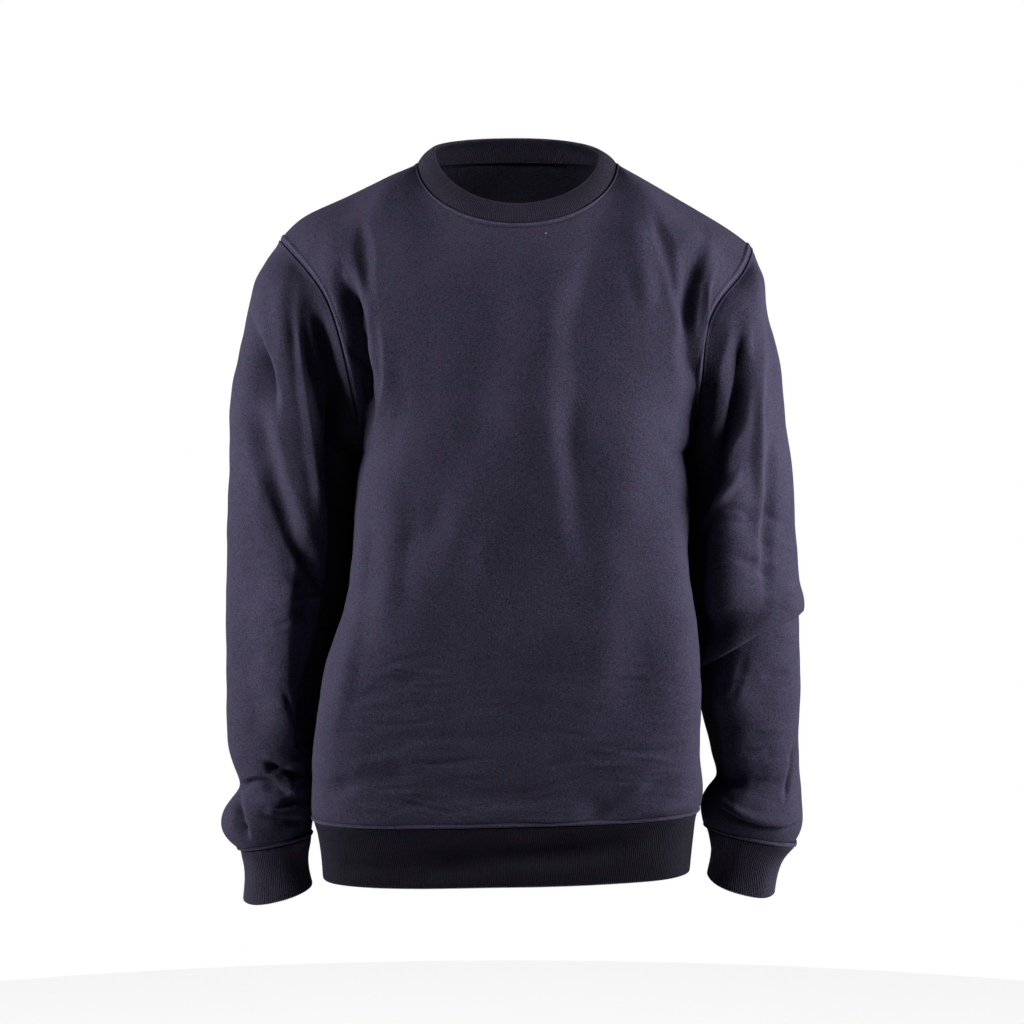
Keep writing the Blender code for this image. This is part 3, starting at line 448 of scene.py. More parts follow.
def wrinkles_on(piece, groups):
    folds = []
    for owner, face, count, centre, spread, size, tilt, seed in groups:
        rng = np.random.default_rng(seed)
        length, width, height = metres(size)
        for _ in range(count if owner == piece else 0):
            middle = metres(centre) + rng.uniform(-1, 1, 2) * metres(spread)
            angle = np.radians(tilt + rng.uniform(-WRINKLE_TURN, WRINKLE_TURN))
            half = length * rng.uniform(*WRINKLE_HALF)
            bow = rng.uniform(-WRINKLE_BOW, WRINKLE_BOW) * half
            way = np.array([np.cos(angle), np.sin(angle)])
            off = np.array([-way[1], way[0]]) * bow
            path = np.array([middle - way * half, middle - way * half * 0.3 + off,
                             middle + way * half * 0.4 + off, middle + way * half])
            tall = height * rng.uniform(*WRINKLE_HEIGHT) * rng.choice((1, -1))
            folds.append(Fold(face, *(width * rng.uniform(*WRINKLE_WIDTH, 2)), tall, 0.0, path))
    return folds


# A sewn edge turns in, and the seam allowance under it lifts the cloth into a flat ridge, which
# the needle's rows press down. The crest gets a painted highlight; edge and rows, painted shade.
EDGE_TURN = 0.0018
EDGE_TURN_REACH = 0.0013
EDGE_LEAN_REACH = 0.006
RIDGE_START = 0.0003      # where it begins to rise from the edge, and how flat its top is
RIDGE_FLATNESS = 0.7
NEEDLE_DENT = 0.0008
DENT_WIDTH = 0.0007
# Painted highlight on a seam's crest, and painted shade at its edge and needle rows:
CREST_PAINTED_HIGHLIGHT = 0.45
CREST_INSET = 0.0004      # the painted highlight on the crest is that much narrower than its ridge, at both edges
THREAD_PAINTED_SHADE = 0.55
EDGE_SHADOW = 0.0008
ROW_SHADOW = 0.0006


def sew_edge(grid, normals, distance, way, ridge, height, needle_rows):
    near = (1 - distance / EDGE_LEAN_REACH).clip(0, 1)[..., None] ** 2
    lean = unit(normals * (1 - near) + way * near)
    rise = -EDGE_TURN * (1 - distance / EDGE_TURN_REACH).clip(0, 1) ** 2
    rise += height * np.sin(np.pi * ((distance - RIDGE_START) / ridge).clip(0, 1)) ** RIDGE_FLATNESS
    for row in needle_rows:
        rise -= NEEDLE_DENT * np.exp(-((distance - row) / DENT_WIDTH) ** 2)
    return grid + rise[..., None] * lean


def seam_painted_light(distance, ridge, needle_rows):
    """Painted light on a seam: a painted highlight on its ridge's crest, and painted shade at its edge and
    threads.
    """
    painted_highlight_mask = np.sqrt(np.sin(np.pi * ((distance - CREST_INSET) / (ridge - 2 * CREST_INSET)).clip(0, 1)))
    painted_shade_mask = np.exp(-(distance / EDGE_SHADOW) ** 2)
    for row in needle_rows:
        painted_shade_mask = np.maximum(painted_shade_mask, np.exp(-((distance - row) / ROW_SHADOW) ** 2))
    return CREST_PAINTED_HIGHLIGHT * painted_highlight_mask * (1 - painted_shade_mask) - THREAD_PAINTED_SHADE * painted_shade_mask


def smooth_object(name, points, faces, material):
    mesh = bpy.data.meshes.new(name)
    mesh.from_pydata(points, [], faces)
    mesh.polygons.foreach_set("use_smooth", np.ones(len(faces), bool))
    mesh.materials.append(material)
    obj = bpy.data.objects.new(name, mesh)
    bpy.context.scene.collection.objects.link(obj)
    return obj


def cloth_object(name, grid, closed, cloth_uv, painted_light, material):
    """A mesh of the grid, with a UV map that measures the cloth, and its painted light and shade at each
    point.
    """
    rows, columns = grid.shape[:2]
    row, column = np.meshgrid(np.arange(rows - 1), np.arange(columns - (not closed)), indexing="ij")
    corners = ((row, column), (row + 1, column), (row + 1, column + 1), (row, column + 1))
    quads = np.stack([r * columns + c % columns for r, c in corners], axis=-1).reshape(-1, 4)
    obj = smooth_object(name, grid.reshape(-1, 3), quads, material)
    u, v = cloth_uv
    u = np.concatenate([u, 2 * u[:, -1:] - u[:, -2:-1]], axis=1)   # round a tube, u runs on past its end
    uv = np.stack([np.stack([u[r, c], v[r, c % columns]], axis=-1) for r, c in corners], axis=-2)
    obj.data.uv_layers.new(name="cloth").data.foreach_set("uv", uv.astype(np.float32).ravel())
    # painted light and shade at each point: above zero a painted highlight, below it painted shade
    painted_layer = obj.data.attributes.new("painted_light", "FLOAT", "POINT")
    painted_layer.data.foreach_set("value", np.broadcast_to(painted_light, (rows, columns)).astype(np.float32).ravel())
    return obj


def armhole_ring(side, turn):
    """The whole armhole seam, from the shoulder point down the front and up the back."""
    ring = np.zeros((len(turn), 3))
    front = turn <= 0.5
    ring[front] = armhole(side, "front", turn[front] * 2)
    ring[~front] = armhole(side, "back", 2 - turn[~front] * 2)
    return ring


def node_group(name, inputs, outputs):
    """A shader node group. Each socket is given as its type, or as the default of a number."""
    tree = bpy.data.node_groups.new(name, "ShaderNodeTree")
    for direction, sockets in (("INPUT", inputs), ("OUTPUT", outputs)):
        for socket, kind in sockets.items():
            number = isinstance(kind, float)
            made = tree.interface.new_socket(
                socket, in_out=direction, socket_type="NodeSocketFloat" if number else "NodeSocket" + kind)
            if number:
                made.default_value = kind
    return tree, tree.nodes.new("NodeGroupInput").outputs, tree.nodes.new("NodeGroupOutput").inputs


def join(tree, value, socket):
    """Link another socket to this one, or set it to a number or colour."""
    if isinstance(value, bpy.types.NodeSocket):
        tree.links.new(value, socket)
    else:
        socket.default_value = value


def math(tree, operation, *values):
    node = tree.nodes.new("ShaderNodeMath")
    node.operation = operation
    for value, socket in zip(values, node.inputs):
        join(tree, value, socket)
    return node.outputs[0]


def blend(tree, share, low, high):
    """A colour between two others."""
    mix = tree.nodes.new("ShaderNodeMix")
    mix.data_type = "RGBA"
    for value, socket in zip((share, low, high), (mix.inputs[0], mix.inputs[6], mix.inputs[7])):
        join(tree, value, socket)
    return mix.outputs[2]


def use_group(tree, group, **sockets):
    node = tree.nodes.new("ShaderNodeGroup")
    node.node_tree = group
    for name, value in sockets.items():
        join(tree, value, node.inputs[name])
    return node.outputs


def noise(tree, place, scale, detail):
    node = tree.nodes.new("ShaderNodeTexNoise")
    for name, value in (("Vector", place), ("Scale", scale), ("Detail", detail)):
        join(tree, value, node.inputs[name])
    return node.outputs["Fac"]


def split(tree, vector):
    node = tree.nodes.new("ShaderNodeSeparateXYZ")
    tree.links.new(vector, node.inputs[0])
    return node.outputs


# The smooth face of a knit: columns of V stitches. Place is in metres over the cloth.
FULL_TURN = 6.2832
jersey, given, wanted = node_group(
    "jersey_face", {"Place": "Vector", "Wale": 0.0009, "Course": 0.0007}, {"Height": "Float"})
place = split(jersey, given["Place"])
wale = math(jersey, "DIVIDE", place["X"], given["Wale"])
course = math(jersey, "DIVIDE", place["Y"], given["Course"])
from_middle = math(jersey, "ABSOLUTE", math(jersey, "SUBTRACT", math(jersey, "FRACT", wale), 0.5))
leg = math(jersey, "SINE", math(jersey, "MULTIPLY", from_middle, FULL_TURN))
slant = math(jersey, "ADD", course, math(jersey, "MULTIPLY", from_middle, 1.3))
loop = math(jersey, "SINE", math(jersey, "MULTIPLY", slant, FULL_TURN))
stitch = math(jersey, "MULTIPLY", leg, math(jersey, "MULTIPLY_ADD", loop, 0.25, 0.75))
join(jersey, stitch, wanted["Height"])

# Short fibres that stand out of the face, uneven, with a speck of lint here and there.
FLECKS_PER_METRE = 38.0
FLECK_SIZE = 0.026
pile, given, wanted = node_group(
    "pile_and_lint", {"Place": "Vector", "Lint": 0.5}, {"Tone": "Float", "Fleck": "Float", "Height": "Float"})
fine, medium, coarse = (noise(pile, given["Place"], scale, detail)
                        for scale, detail in ((1100.0, 1.0), (420.0, 1.0), (22.0, 3.0)))
mottle = math(pile, "MULTIPLY_ADD", medium, 0.20, math(pile, "MULTIPLY", coarse, 0.10))
mottle = math(pile, "MULTIPLY_ADD", fine, 0.70, mottle)
tone = math(pile, "MULTIPLY_ADD", math(pile, "SUBTRACT", mottle, 0.5), 3.1, 0.5)   # spread to both ends
join(pile, tone, wanted["Tone"])
join(pile, math(pile, "MULTIPLY_ADD", medium, 0.6, math(pile, "MULTIPLY", fine, 0.4)), wanted["Height"])
specks = pile.nodes.new("ShaderNodeTexVoronoi")
join(pile, given["Place"], specks.inputs["Vector"])
join(pile, FLECKS_PER_METRE, specks.inputs["Scale"])
chosen = pile.nodes.new("ShaderNodeSeparateColor")
join(pile, specks.outputs["Color"], chosen.inputs[0])
small = math(pile, "LESS_THAN", specks.outputs["Distance"], FLECK_SIZE)
rare = math(pile, "LESS_THAN", chosen.outputs["Red"], math(pile, "MULTIPLY", given["Lint"], 0.12))
join(pile, math(pile, "MULTIPLY", small, rare), wanted["Fleck"])

# The cloth's colour, painted paler for painted highlight or darker for painted shade, and painted darker on
# its inside as painted shade.
painted_light_tone, given, wanted = node_group(
    "painted_light_tone", {"Color": "Color", "Wear": 0.0, "Inside": 0.0}, {"Color": "Color"})
scaled = painted_light_tone.nodes.new("ShaderNodeVectorMath")
scaled.operation = "SCALE"
lightness = math(painted_light_tone, "SUBTRACT", math(painted_light_tone, "ADD", given["Wear"], 1.0), given["Inside"])
join(painted_light_tone, given["Color"], scaled.inputs[0])
join(painted_light_tone, lightness, scaled.inputs["Scale"])
join(painted_light_tone, scaled.outputs[0], wanted["Color"])


def new_material(name, values):
    """A material, and its shader with these numbers and colours."""
    material = bpy.data.materials.new(name)
    material.use_nodes = True
    surface = material.node_tree.nodes["Principled BSDF"]
    for socket, value in values.items():
        surface.inputs[socket].default_value = value
    return material, material.node_tree, surface


def over_cloth(tree, knit, lint, dark, pale, inside_painted_shade, **sizes):
    """Knit and nap as they lie over a piece, and their colour with its painted highlight and shade, and
    painted shade inside.
    """
    place = tree.nodes.new("ShaderNodeUVMap")
    place.uv_map = "cloth"
    knit = use_group(tree, knit, Place=place.outputs["UV"], **sizes)
    nap = use_group(tree, pile, Place=tree.nodes.new("ShaderNodeTexCoord").outputs["Object"], Lint=lint)
    # the painted light and shade stored on the mesh
    painted_light = tree.nodes.new("ShaderNodeAttribute")
    painted_light.attribute_name = "painted_light"
    tint = blend(tree, nap["Tone"], dark, pale)
    return knit, nap, use_group(tree, painted_light_tone, Color=tint, Wear=painted_light.outputs["Fac"], Inside=inside_painted_shade)["Color"]


def bumps(tree, surface, *layers):
    """Layers of (height, strength, distance), each over the one before."""
    normal = None
    for height, strength, distance in layers:
        node = tree.nodes.new("ShaderNodeBump")
        for socket, value in (("Height", height), ("Strength", strength), ("Distance", distance)):
            join(tree, value, node.inputs[socket])
        if normal is not None:
            join(tree, normal, node.inputs["Normal"])
        normal = node.outputs["Normal"]
    join(tree, normal, surface.inputs["Normal"])


FLEECE_DARK, FLEECE_PALE = (0.0175, 0.0152, 0.0285, 1), (0.0620, 0.0540, 0.0960, 1)
FLEECE_INSIDE_PAINTED_SHADE = 0.55      # painted shade: how much darker the brushed inside is painted
LINT_COLOUR = (0.42, 0.42, 0.45, 1)
fleece, tree, surface = new_material("fleece", {
    "Roughness": 0.92, "Specular IOR Level": 0.10,
    "Sheen Weight": 0.03, "Sheen Roughness": 0.55, "Sheen Tint": (0.60, 0.50, 0.84, 1)})
# painted shade on the inside: back faces are painted darker
inside_painted_shade = math(tree, "MULTIPLY", tree.nodes.new("ShaderNodeNewGeometry").outputs["Backfacing"], FLEECE_INSIDE_PAINTED_SHADE)
knit, nap, colour = over_cloth(
    tree, jersey, 0.5, FLEECE_DARK, FLEECE_PALE, inside_painted_shade, Wale=0.0011, Course=0.0009)
join(tree, blend(tree, nap["Fleck"], colour, LINT_COLOUR), surface.inputs["Base Color"])
bumps(tree, surface, (knit["Height"], 0.4, 0.0003), (nap["Height"], 0.5, 0.0006))

# The back has the hollow between the shoulder blades, and slack across the waist.
BODY_FOLDS = {
    ("front", "front"): (
        (11, 15, -26, 0.1, -171, -109, -165, -143, -159, -177, -155, -211, -152, -240, -152, -267),
        (8, 22, 5, 0.6, -131, -157, -127, -182, -126, -212, -128, -235, -137, -264, -147, -294),
        (13, 12, -5, 0, -153, -60, -149, -90, -146, -114, -143, -141),
        (20, 10, -11, 0.1, 184, -74, 175, -101, 170, -129, 168, -158, 170, -189, 175, -227),
        (6, 6, 6, 0.5, 192, -102, 184, -130, 181, -170, 181, -202, 179, -245),
        (10, 11, -3, 0.1, 130, -45, 139, -72, 145, -91, 151, -117, 158, -153),
        (26, 22, 3.5, 0, -121, -302, -120, -388, -135, -465),
        (14, 14, 3, 0, -150, -314, -151, -390, -162, -477, -176, -564),
        (16, 20, 3, 0, 112, -55, 119, -100, 128, -158),
        (12, 22, -7, 0.2, 52, -639, 91, -627, 133, -614, 182, -597),
        (8, 7, 3, 0.1, 89, -645, 128, -631, 178, -628),
        (14, 26, -3, 0, -122, -623, -45, -615, 45, -620),
        (9, 14, -1.6, 0, -166, -582, -112, -562, -45, -557, 3, -564),
        (12, 12, -1.4, 0, -172, -525, -131, -513, -83, -491),
        (9, 12, -1.1, 0, -64, -536, 3, -526, 79, -533),
        (10, 14, -1.4, 0, 41, -578, 98, -572, 169, -571),
        (14, 18, -3, 0, -190, -615, -151, -602, -93, -592),
        (60, 26, 7, 0.1, 73, -67, 51, -103, 34, -140, 27, -188, 29, -254, 37, -330, 46, -406),
        (46, 46, 7, 0, 26, -168, -2, -264, -50, -359, -102, -445, -141, -513),
        (60, 60, -6.5, 0, 79, -387, 41, -464, -16, -540, -74, -606),
        (50, 50, -6, 0, 142, -254, 136, -350, 121, -446, 106, -522, 93, -589),
        (9, 12, -8, 0.1, -162, -109, -155, -143, -150, -177, -147, -214, -146, -243),
    ),
    ("back", "back"): (
        (45, 45, -10, 0, 0, -60, 4, -160, 2, -280),
        (24, 20, -14, 0, -178, -110, -158, -155, -148, -215, -142, -290),
        (20, 24, -14, 0, 178, -115, 160, -160, 152, -215, 148, -290),
        (26, 34, 8, 0, -110, -120, -100, -230, -60, -370),
        (34, 26, 7, 0, 115, -130, 96, -240, 50, -350),
        (24, 18, -8, 0, -150, -430, -60, -465, 40, -470, 140, -440),
        (22, 16, -7, 0, -165, -530, -70, -555, 30, -560),
        (22, 16, -6, 0, -40, -598, 60, -602, 150, -585),
        (18, 14, -4, 0, -150, -345, -90, -385, -20, -405, 60, -400),
    ),
}
# Groups of small wrinkles: their number, centre, spread, (length, width, height), tilt and seed.
BODY_WRINKLES = (
    ("front", "front", 34, (-95, -550), (85, 85), (75, 4.6, 0.9), 0, 11),
    ("front", "front", 34, (75, -560), (90, 75), (75, 4.6, 0.9), 4, 12),
    ("back", "back", 22, (0, -540), (140, 80), (80, 7, 1.4), 0, 14),
    ("back", "back", 10, (0, -380), (110, 60), (90, 9, 1.2), -6, 15),
)
BODY_CRUMPLE = ((0.110, 0.0010, 3), (0.034, 0.00022, 4))   # size, height and seed
PANEL_HALF_WIDTH = 0.27
PANEL_LENGTH = 0.64
NECK_HEART = np.array([0.0, 0.0, -0.12])   # neck seams turn in towards this point
COVERSTITCH_RIDGE = 0.0048                 # width of the ridge that a twin needle leaves
COVERSTITCH_DENTS = (COVERSTITCH_RIDGE,)
ARMHOLE_RIDGE = 0.0076
ARMHOLE_DENTS = (0.0018, ARMHOLE_RIDGE - 0.0006)
RIDGE_HEIGHTS = {"neck": 0.0019, "shoulder": 0.0005, "armhole": 0.0011, "hem": 0.0020}
RIDGE_FADE = 0.004                         # the armhole's ridge sinks that near to the shoulder
SHOULDER_LEAN = 0.4                        # how far the shoulder seam leans out, against up
ARMHOLE_POINTS = 64
HELD = {"top": 0.012, "bottom": 0.008, "side": 0.010}   # how far in from a seam folds are flattened
SIDE_BLEND = 0.04                          # share of the length where armhole turns to side seam
NECK_BLEND = 0.03                          # share of the width where neckline turns to shoulder seam
sewn = {}                                  # each piece's finished points and outward directions


def armhole_way(points, side):
    return unit(points - armhole_ring(side, np.arange(ARMHOLE_POINTS) / ARMHOLE_POINTS).mean(axis=0))


def folded(grid, closed, free, folds, crumples):
    """The cloth with its folds and unevenness, as far as each point is free to move."""
    normals = outward(grid, closed)
    moved = press_folds(grid, normals, folds) + sum(crumple(grid, *sizes) for sizes in crumples)
    return grid + normals * (moved * free)[..., None]


for name in ("front", "back"):
    neck = shares_along(0.0, NECK_SHARE, 0.5 * PANEL_HALF_WIDTH, False, False)
    shoulder = shares_along(NECK_SHARE, 1.0, 0.5 * PANEL_HALF_WIDTH, False, True)
    half = np.concatenate([neck[:-1], shoulder])
    across = np.concatenate([-half[:0:-1], half])
    armhole_rows = shares_along(0.0, ARMPIT_SHARE, ARMPIT_SHARE * PANEL_LENGTH, True, False)
    side_rows = shares_along(ARMPIT_SHARE, 1.0, (1 - ARMPIT_SHARE) * PANEL_LENGTH, False, True)
    down = np.concatenate([armhole_rows[:-1], side_rows])
    grid = panel_grid(name, across, down)
    if name == "back":
        grid, across = grid[:, ::-1], across[::-1]
    reach = {edge: from_edge(grid, edge) for edge in ("top", "bottom", "first", "last")}
    past_armpit = smooth_step((down - ARMPIT_SHARE) / SIDE_BLEND)[:, None]
    free = smooth_step(reach["top"] / HELD["top"]) * smooth_step(reach["bottom"] / HELD["bottom"])
    for edge in ("first", "last"):
        free = free * (past_armpit + (1 - past_armpit) * smooth_step(reach[edge] / HELD["side"]))
    folds = folds_on(name, BODY_FOLDS) + wrinkles_on(name, BODY_WRINKLES)
    grid = folded(grid, False, free, folds, BODY_CRUMPLE)
    normals = outward(grid, closed=False)

    neck_part = smooth_step((NECK_SHARE + NECK_BLEND / 2 - np.abs(across)) / NECK_BLEND)[:, None]
    shoulder_way = np.array([(SHOULDER_LEAN * np.sign(share), 0, 1) for share in across])
    way = unit(unit(grid[0] - NECK_HEART) * neck_part + unit(shoulder_way) * (1 - neck_part))
    neck_part = neck_part[:, 0]
    height = RIDGE_HEIGHTS["neck"] * neck_part + RIDGE_HEIGHTS["shoulder"] * (1 - neck_part)
    grid = sew_edge(grid, normals, reach["top"], way[None], COVERSTITCH_RIDGE, height, COVERSTITCH_DENTS)
    # Painted light on the seams: painted highlight on their crests, painted shade at edges and threads.
    painted_light = seam_painted_light(reach["top"], COVERSTITCH_RIDGE, COVERSTITCH_DENTS) * neck_part
    painted_light += seam_painted_light(reach["bottom"], COVERSTITCH_RIDGE, COVERSTITCH_DENTS)
    for edge, column in (("first", 0), ("last", -1)):
        side = np.sign(grid[0, column, 0])
        way = armhole_way(grid[:, column], side) * (1 - past_armpit) + np.array([side, 0, 0]) * past_armpit
        height = RIDGE_HEIGHTS["armhole"] * (1 - past_armpit) * smooth_step(reach["top"] / RIDGE_FADE)
        grid = sew_edge(grid, normals, reach[edge], unit(way)[:, None], ARMHOLE_RIDGE, height, ARMHOLE_DENTS)
        painted_light += seam_painted_light(reach[edge], ARMHOLE_RIDGE, ARMHOLE_DENTS) * (1 - past_armpit)
    way = unit((grid[-1] - grid[-1].mean(axis=0) * (1, 0, 0)) * (1, 1, 0))
    grid = sew_edge(
        grid, normals, reach["bottom"], way[None], COVERSTITCH_RIDGE, RIDGE_HEIGHTS["hem"], COVERSTITCH_DENTS)
    uv = np.broadcast_arrays(across[None] * PANEL_HALF_WIDTH, -down[:, None] * PANEL_LENGTH)
    panel = cloth_object(f"{name}_panel", grid, False, uv, painted_light, fleece)
    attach(panel, "root")
    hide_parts(name)
    sewn[name] = {
        "grid": grid, "normals": outward(grid, closed=False), "across": across, "down": down, **reach}

# ================================================================ sleeves
# Each is one piece of the same fleece, closed by an underarm seam and set into the armhole. The
# upper arm hangs in two long folds, the left one slumps over at the elbow, and the spare length
# bunches on the cuff.
SLEEVE_POWER = 2.2

# Rings down a sleeve: the outer and the inner edge, seen from the front, and how far the ring
# reaches forward and back. x is measured outwards from the middle of the body. twist moves the
# inner edge back and the outer edge forward; droop lowers the front edge.
Cut = namedtuple("Cut", "down x_outer z_outer x_inner z_inner y_front y_back twist droop", defaults=(0.0,))


def cuts(*rows):
    return [Cut(row[0], *metres(row[1:])) for row in rows]


SLEEVE = {
    RIGHT: cuts(
        (0.055, 250.5, -96, 154.5, -293, -71, 99, 4),
        (0.13, 265, -136, 156, -304, -77, 103, 10),
        (0.22, 276.5, -190, 157.5, -320, -80, 104, 17),
        (0.31, 284, -252, 158.8, -342, -78, 104, 22),
        (0.4, 286.8, -315, 161, -374, -71, 102, 26),
        (0.49, 287.3, -378, 164.5, -416, -62, 101, 28),
        (0.58, 289.8, -440, 175.5, -460, -52, 98, 28),
        (0.67, 291.2, -500, 187, -506, -48, 90, 26),
        (0.76, 290.3, -556, 196.5, -556, -43, 77, 20),
        (0.84, 285.5, -602, 200.5, -598, -39, 66, 12),
        (0.885, 280, -622, 200.5, -619, -39, 60, 8),
        (0.93, 293, -644, 201.5, -638, -47, 58, 6),
        (0.965, 295.5, -664, 204, -654, -48, 52, 3),
        (1, 277.5, -685, 206.5, -671.5, -40, 34, 0),
    ),
    LEFT: cuts(
        (0.055, 240.5, -101, 167.5, -293, -66, 99, 4),
        (0.13, 248, -140, 169, -304, -72.5, 103, 10),
        (0.22, 257.5, -191, 170.5, -320, -76.5, 104, 17),
        (0.31, 267.2, -252, 171.5, -342, -77, 104, 22),
        (0.4, 274, -315, 171, -374, -70, 102, 26),
        (0.49, 279, -378, 172, -416, -60, 101, 28),
        (0.58, 282.5, -440, 175.5, -460, -50, 98, 28),
        (0.67, 283.5, -500, 180, -506, -48, 90, 26),
        (0.76, 284, -556, 189, -556, -42, 77, 18),
        (0.84, 283.5, -602, 200, -598, -37, 66, 10),
        (0.885, 284, -620, 202.5, -616, -37, 60, 6),
        (0.93, 285.5, -640, 189, -632, -48, 58, 3),
        (0.965, 286.5, -662, 187, -649, -50, 54, 0),
        (1, 279, -682, 190.5, -663, -44, 40, 0),
    ),
}
# In front slack cloth faces outwards, against the twist: how far its sides are moved, and where.
FACING_OUT = {
    RIGHT: ((0.0, 0.22, 0.49, 0.67, 0.84, 1.0), metres((6, 8, 7, 6, 3, 1))),
    LEFT: ((0.0, 0.22, 0.40, 0.60, 0.75, 1.0), metres((10, 20, 17, 7, 1, 1))),
}


def cut_section(row, side, turn, facing_out):
    """A ring of a sleeve or cuff. turn is 0 at the outer edge, a quarter in front, a half inside."""
    across, along = (np.sign(wave) * np.abs(wave) ** (2 / SLEEVE_POWER)
                     for wave in (np.cos(turn * 2 * np.pi), np.sin(turn * 2 * np.pi)))
    x = (row.x_outer + row.x_inner) / 2 + (row.x_outer - row.x_inner) / 2 * across
    z = (row.z_outer + row.z_inner) / 2 + (row.z_outer - row.z_inner) / 2 * across
    in_front = along.clip(0, 1)
    turned = (facing_out * in_front - row.twist * (1 - in_front)) * across
    y = (row.y_front + row.y_back) / 2 - (row.y_back - row.y_front) / 2 * along + turned
    return np.column_stack([side * x, y, z - row.droop * along])


def sleeve_grid(side, turn, down):
    sections = [armhole_ring(side, turn)]
    for row in SLEEVE[side]:
        sections.append(cut_section(row, side, turn, np.interp(row.down, *FACING_OUT[side])))
    return loft(sections, [0.0] + [row.down for row in SLEEVE[side]], down)


SLEEVE_FOLDS = {
    ("sleeve_right", "front"): (
        (30, 8, -13, 0.5, -277, -129, -266, -154, -252, -182, -241, -211, -234, -253),
        (22, 20, -9, 0, -260, -225, -250, -264, -239, -308, -228, -352, -211, -394, -188, -436),
        (16, 8, 5, 0.4, -248, -321, -241, -342, -227, -374, -209, -404, -183, -447),
        (18, 16, 3, 0.1, -228, -87, -228, -138, -226, -182, -218, -235),
        (10, 10, 6, 0.5, -213, -116, -212, -162, -207, -213, -199, -264, -194, -314, -190, -363),
        (15, 17, -27, 0.1, -190, -160, -179, -211, -173, -264, -170, -324, -172, -385, -181, -440,
         -196, -490, -206, -547, -210, -602),
        (8, 10, -9, 0.3, -198, -142, -191, -167, -182, -201, -175, -243, -171, -284),
        (5, 6, -4, 0.8, -230, -516, -223, -548, -213, -586),
        (12, 6, -11, 0.5, -252, -593, -230, -602, -203, -612),
        (6, 8, 3, 0, -256, -586, -230, -592, -204, -600),
        (9, 6, -9, 0.5, -282, -624, -264, -614, -244, -615, -220, -628),
        (7, 6, -5, 0.4, -238, -638, -221, -633, -208, -634),
        (7, 5, -4, 0.4, -262, -640, -239, -648, -207, -653),
        (12, 5, -9, 0.6, -280, -621, -275, -639, -264, -668),
        (46, 14, 11, 0.15, -213, -372, -223, -451, -226, -522, -224, -593),
    ),
    ("sleeve_right", "back"): (
        (28, 28, -12, 0, -215, -160, -210, -230, -218, -320, -235, -400),
        (20, 20, -8, 0, -282, -440, -245, -462, -205, -455),
        (12, 12, -6, 0, -284, -606, -250, -612, -214, -604),
        (10, 10, -5, 0, -284, -640, -250, -634, -214, -640),
    ),
    ("sleeve_left", "front"): (
        (10, 9, 4.5, 0.45, 236, -111, 240, -142, 241, -178, 237, -228, 235, -292, 234, -342,
         234, -391),
        (8, 12, -4, 0, 249, -259, 244, -332, 243, -435),
        (17, 17, -14, 0, 218, -160, 215, -198, 211, -230, 202, -259, 191, -286, 181, -314,
         176, -345),
        (7, 8, 6, 0.6, 217, -299, 201, -325, 186, -349, 175, -363),
        (22, 14, -14, 0.1, 185, -516, 189, -564, 197, -623),
        (5, 7, -1.2, 0, 225, -482, 219, -508, 212, -533),
        (5, 5, -3.5, 0.8, 280, -573, 271, -603, 265, -635),
        (14, 52, 12, 0.1, 208, -286, 201, -333, 195, -393, 198, -474),
        (10, 46, 8, 0.15, 199, -506, 204, -554, 212, -623),
    ),
    ("sleeve_left", "back"): (
        (28, 28, -12, 0, 214, -165, 208, -235, 216, -320, 232, -400),
        (20, 20, -9, 0, 278, -452, 240, -470, 198, -462),
        (12, 12, -6, 0, 196, -612, 240, -618, 282, -610),
    ),
}
# At the cuff and at the elbow the left sleeve laps over: face, reach, lift, overlap and path.
SLEEVE_LAPS = {RIGHT: (), LEFT: (
    ("front", 0.009, 0.006, 0.9, metres((
        (196, -632), (210, -640), (232, -649), (254, -654), (274, -653), (288, -648)))),
    ("front", 0.026, 0.008, 0.9, metres((
        (140, -534), (165, -512), (180, -499), (207, -477), (234, -459), (262, -447), (290, -438),
        (325, -428)))),
)}
SLEEVE_WRINKLES = (
    ("sleeve_right", "front", 12, (-245, -470), (35, 100), (45, 7, 1.2), 15, 21),
    ("sleeve_right", "front", 10, (-245, -615), (35, 40), (40, 5, 1.6), 5, 22),
    ("sleeve_right", "back", 16, (-245, -500), (40, 130), (50, 7, 1.6), 0, 23),
    ("sleeve_left", "front", 12, (240, -380), (35, 70), (45, 7, 1.2), -20, 24),
    ("sleeve_left", "front", 12, (240, -560), (35, 60), (45, 6, 1.2), 5, 25),
    ("sleeve_left", "back", 16, (240, -500), (40, 130), (50, 7, 1.6), 0, 26),
)
SLEEVE_CRUMPLE = ((0.090, 0.0012, 5), (0.030, 0.00025, 6))
SLEEVE_LENGTH = 0.62
SLEEVE_GIRTH = 0.42
SLEEVE_HELD = {"top": 0.010, "bottom": 0.006}
SLEEVE_HEAD_RIDGE = (0.0030, 0.0005)     # width and height, under the panels' edge
CUFF_RIDGE_HEIGHT = 0.0017

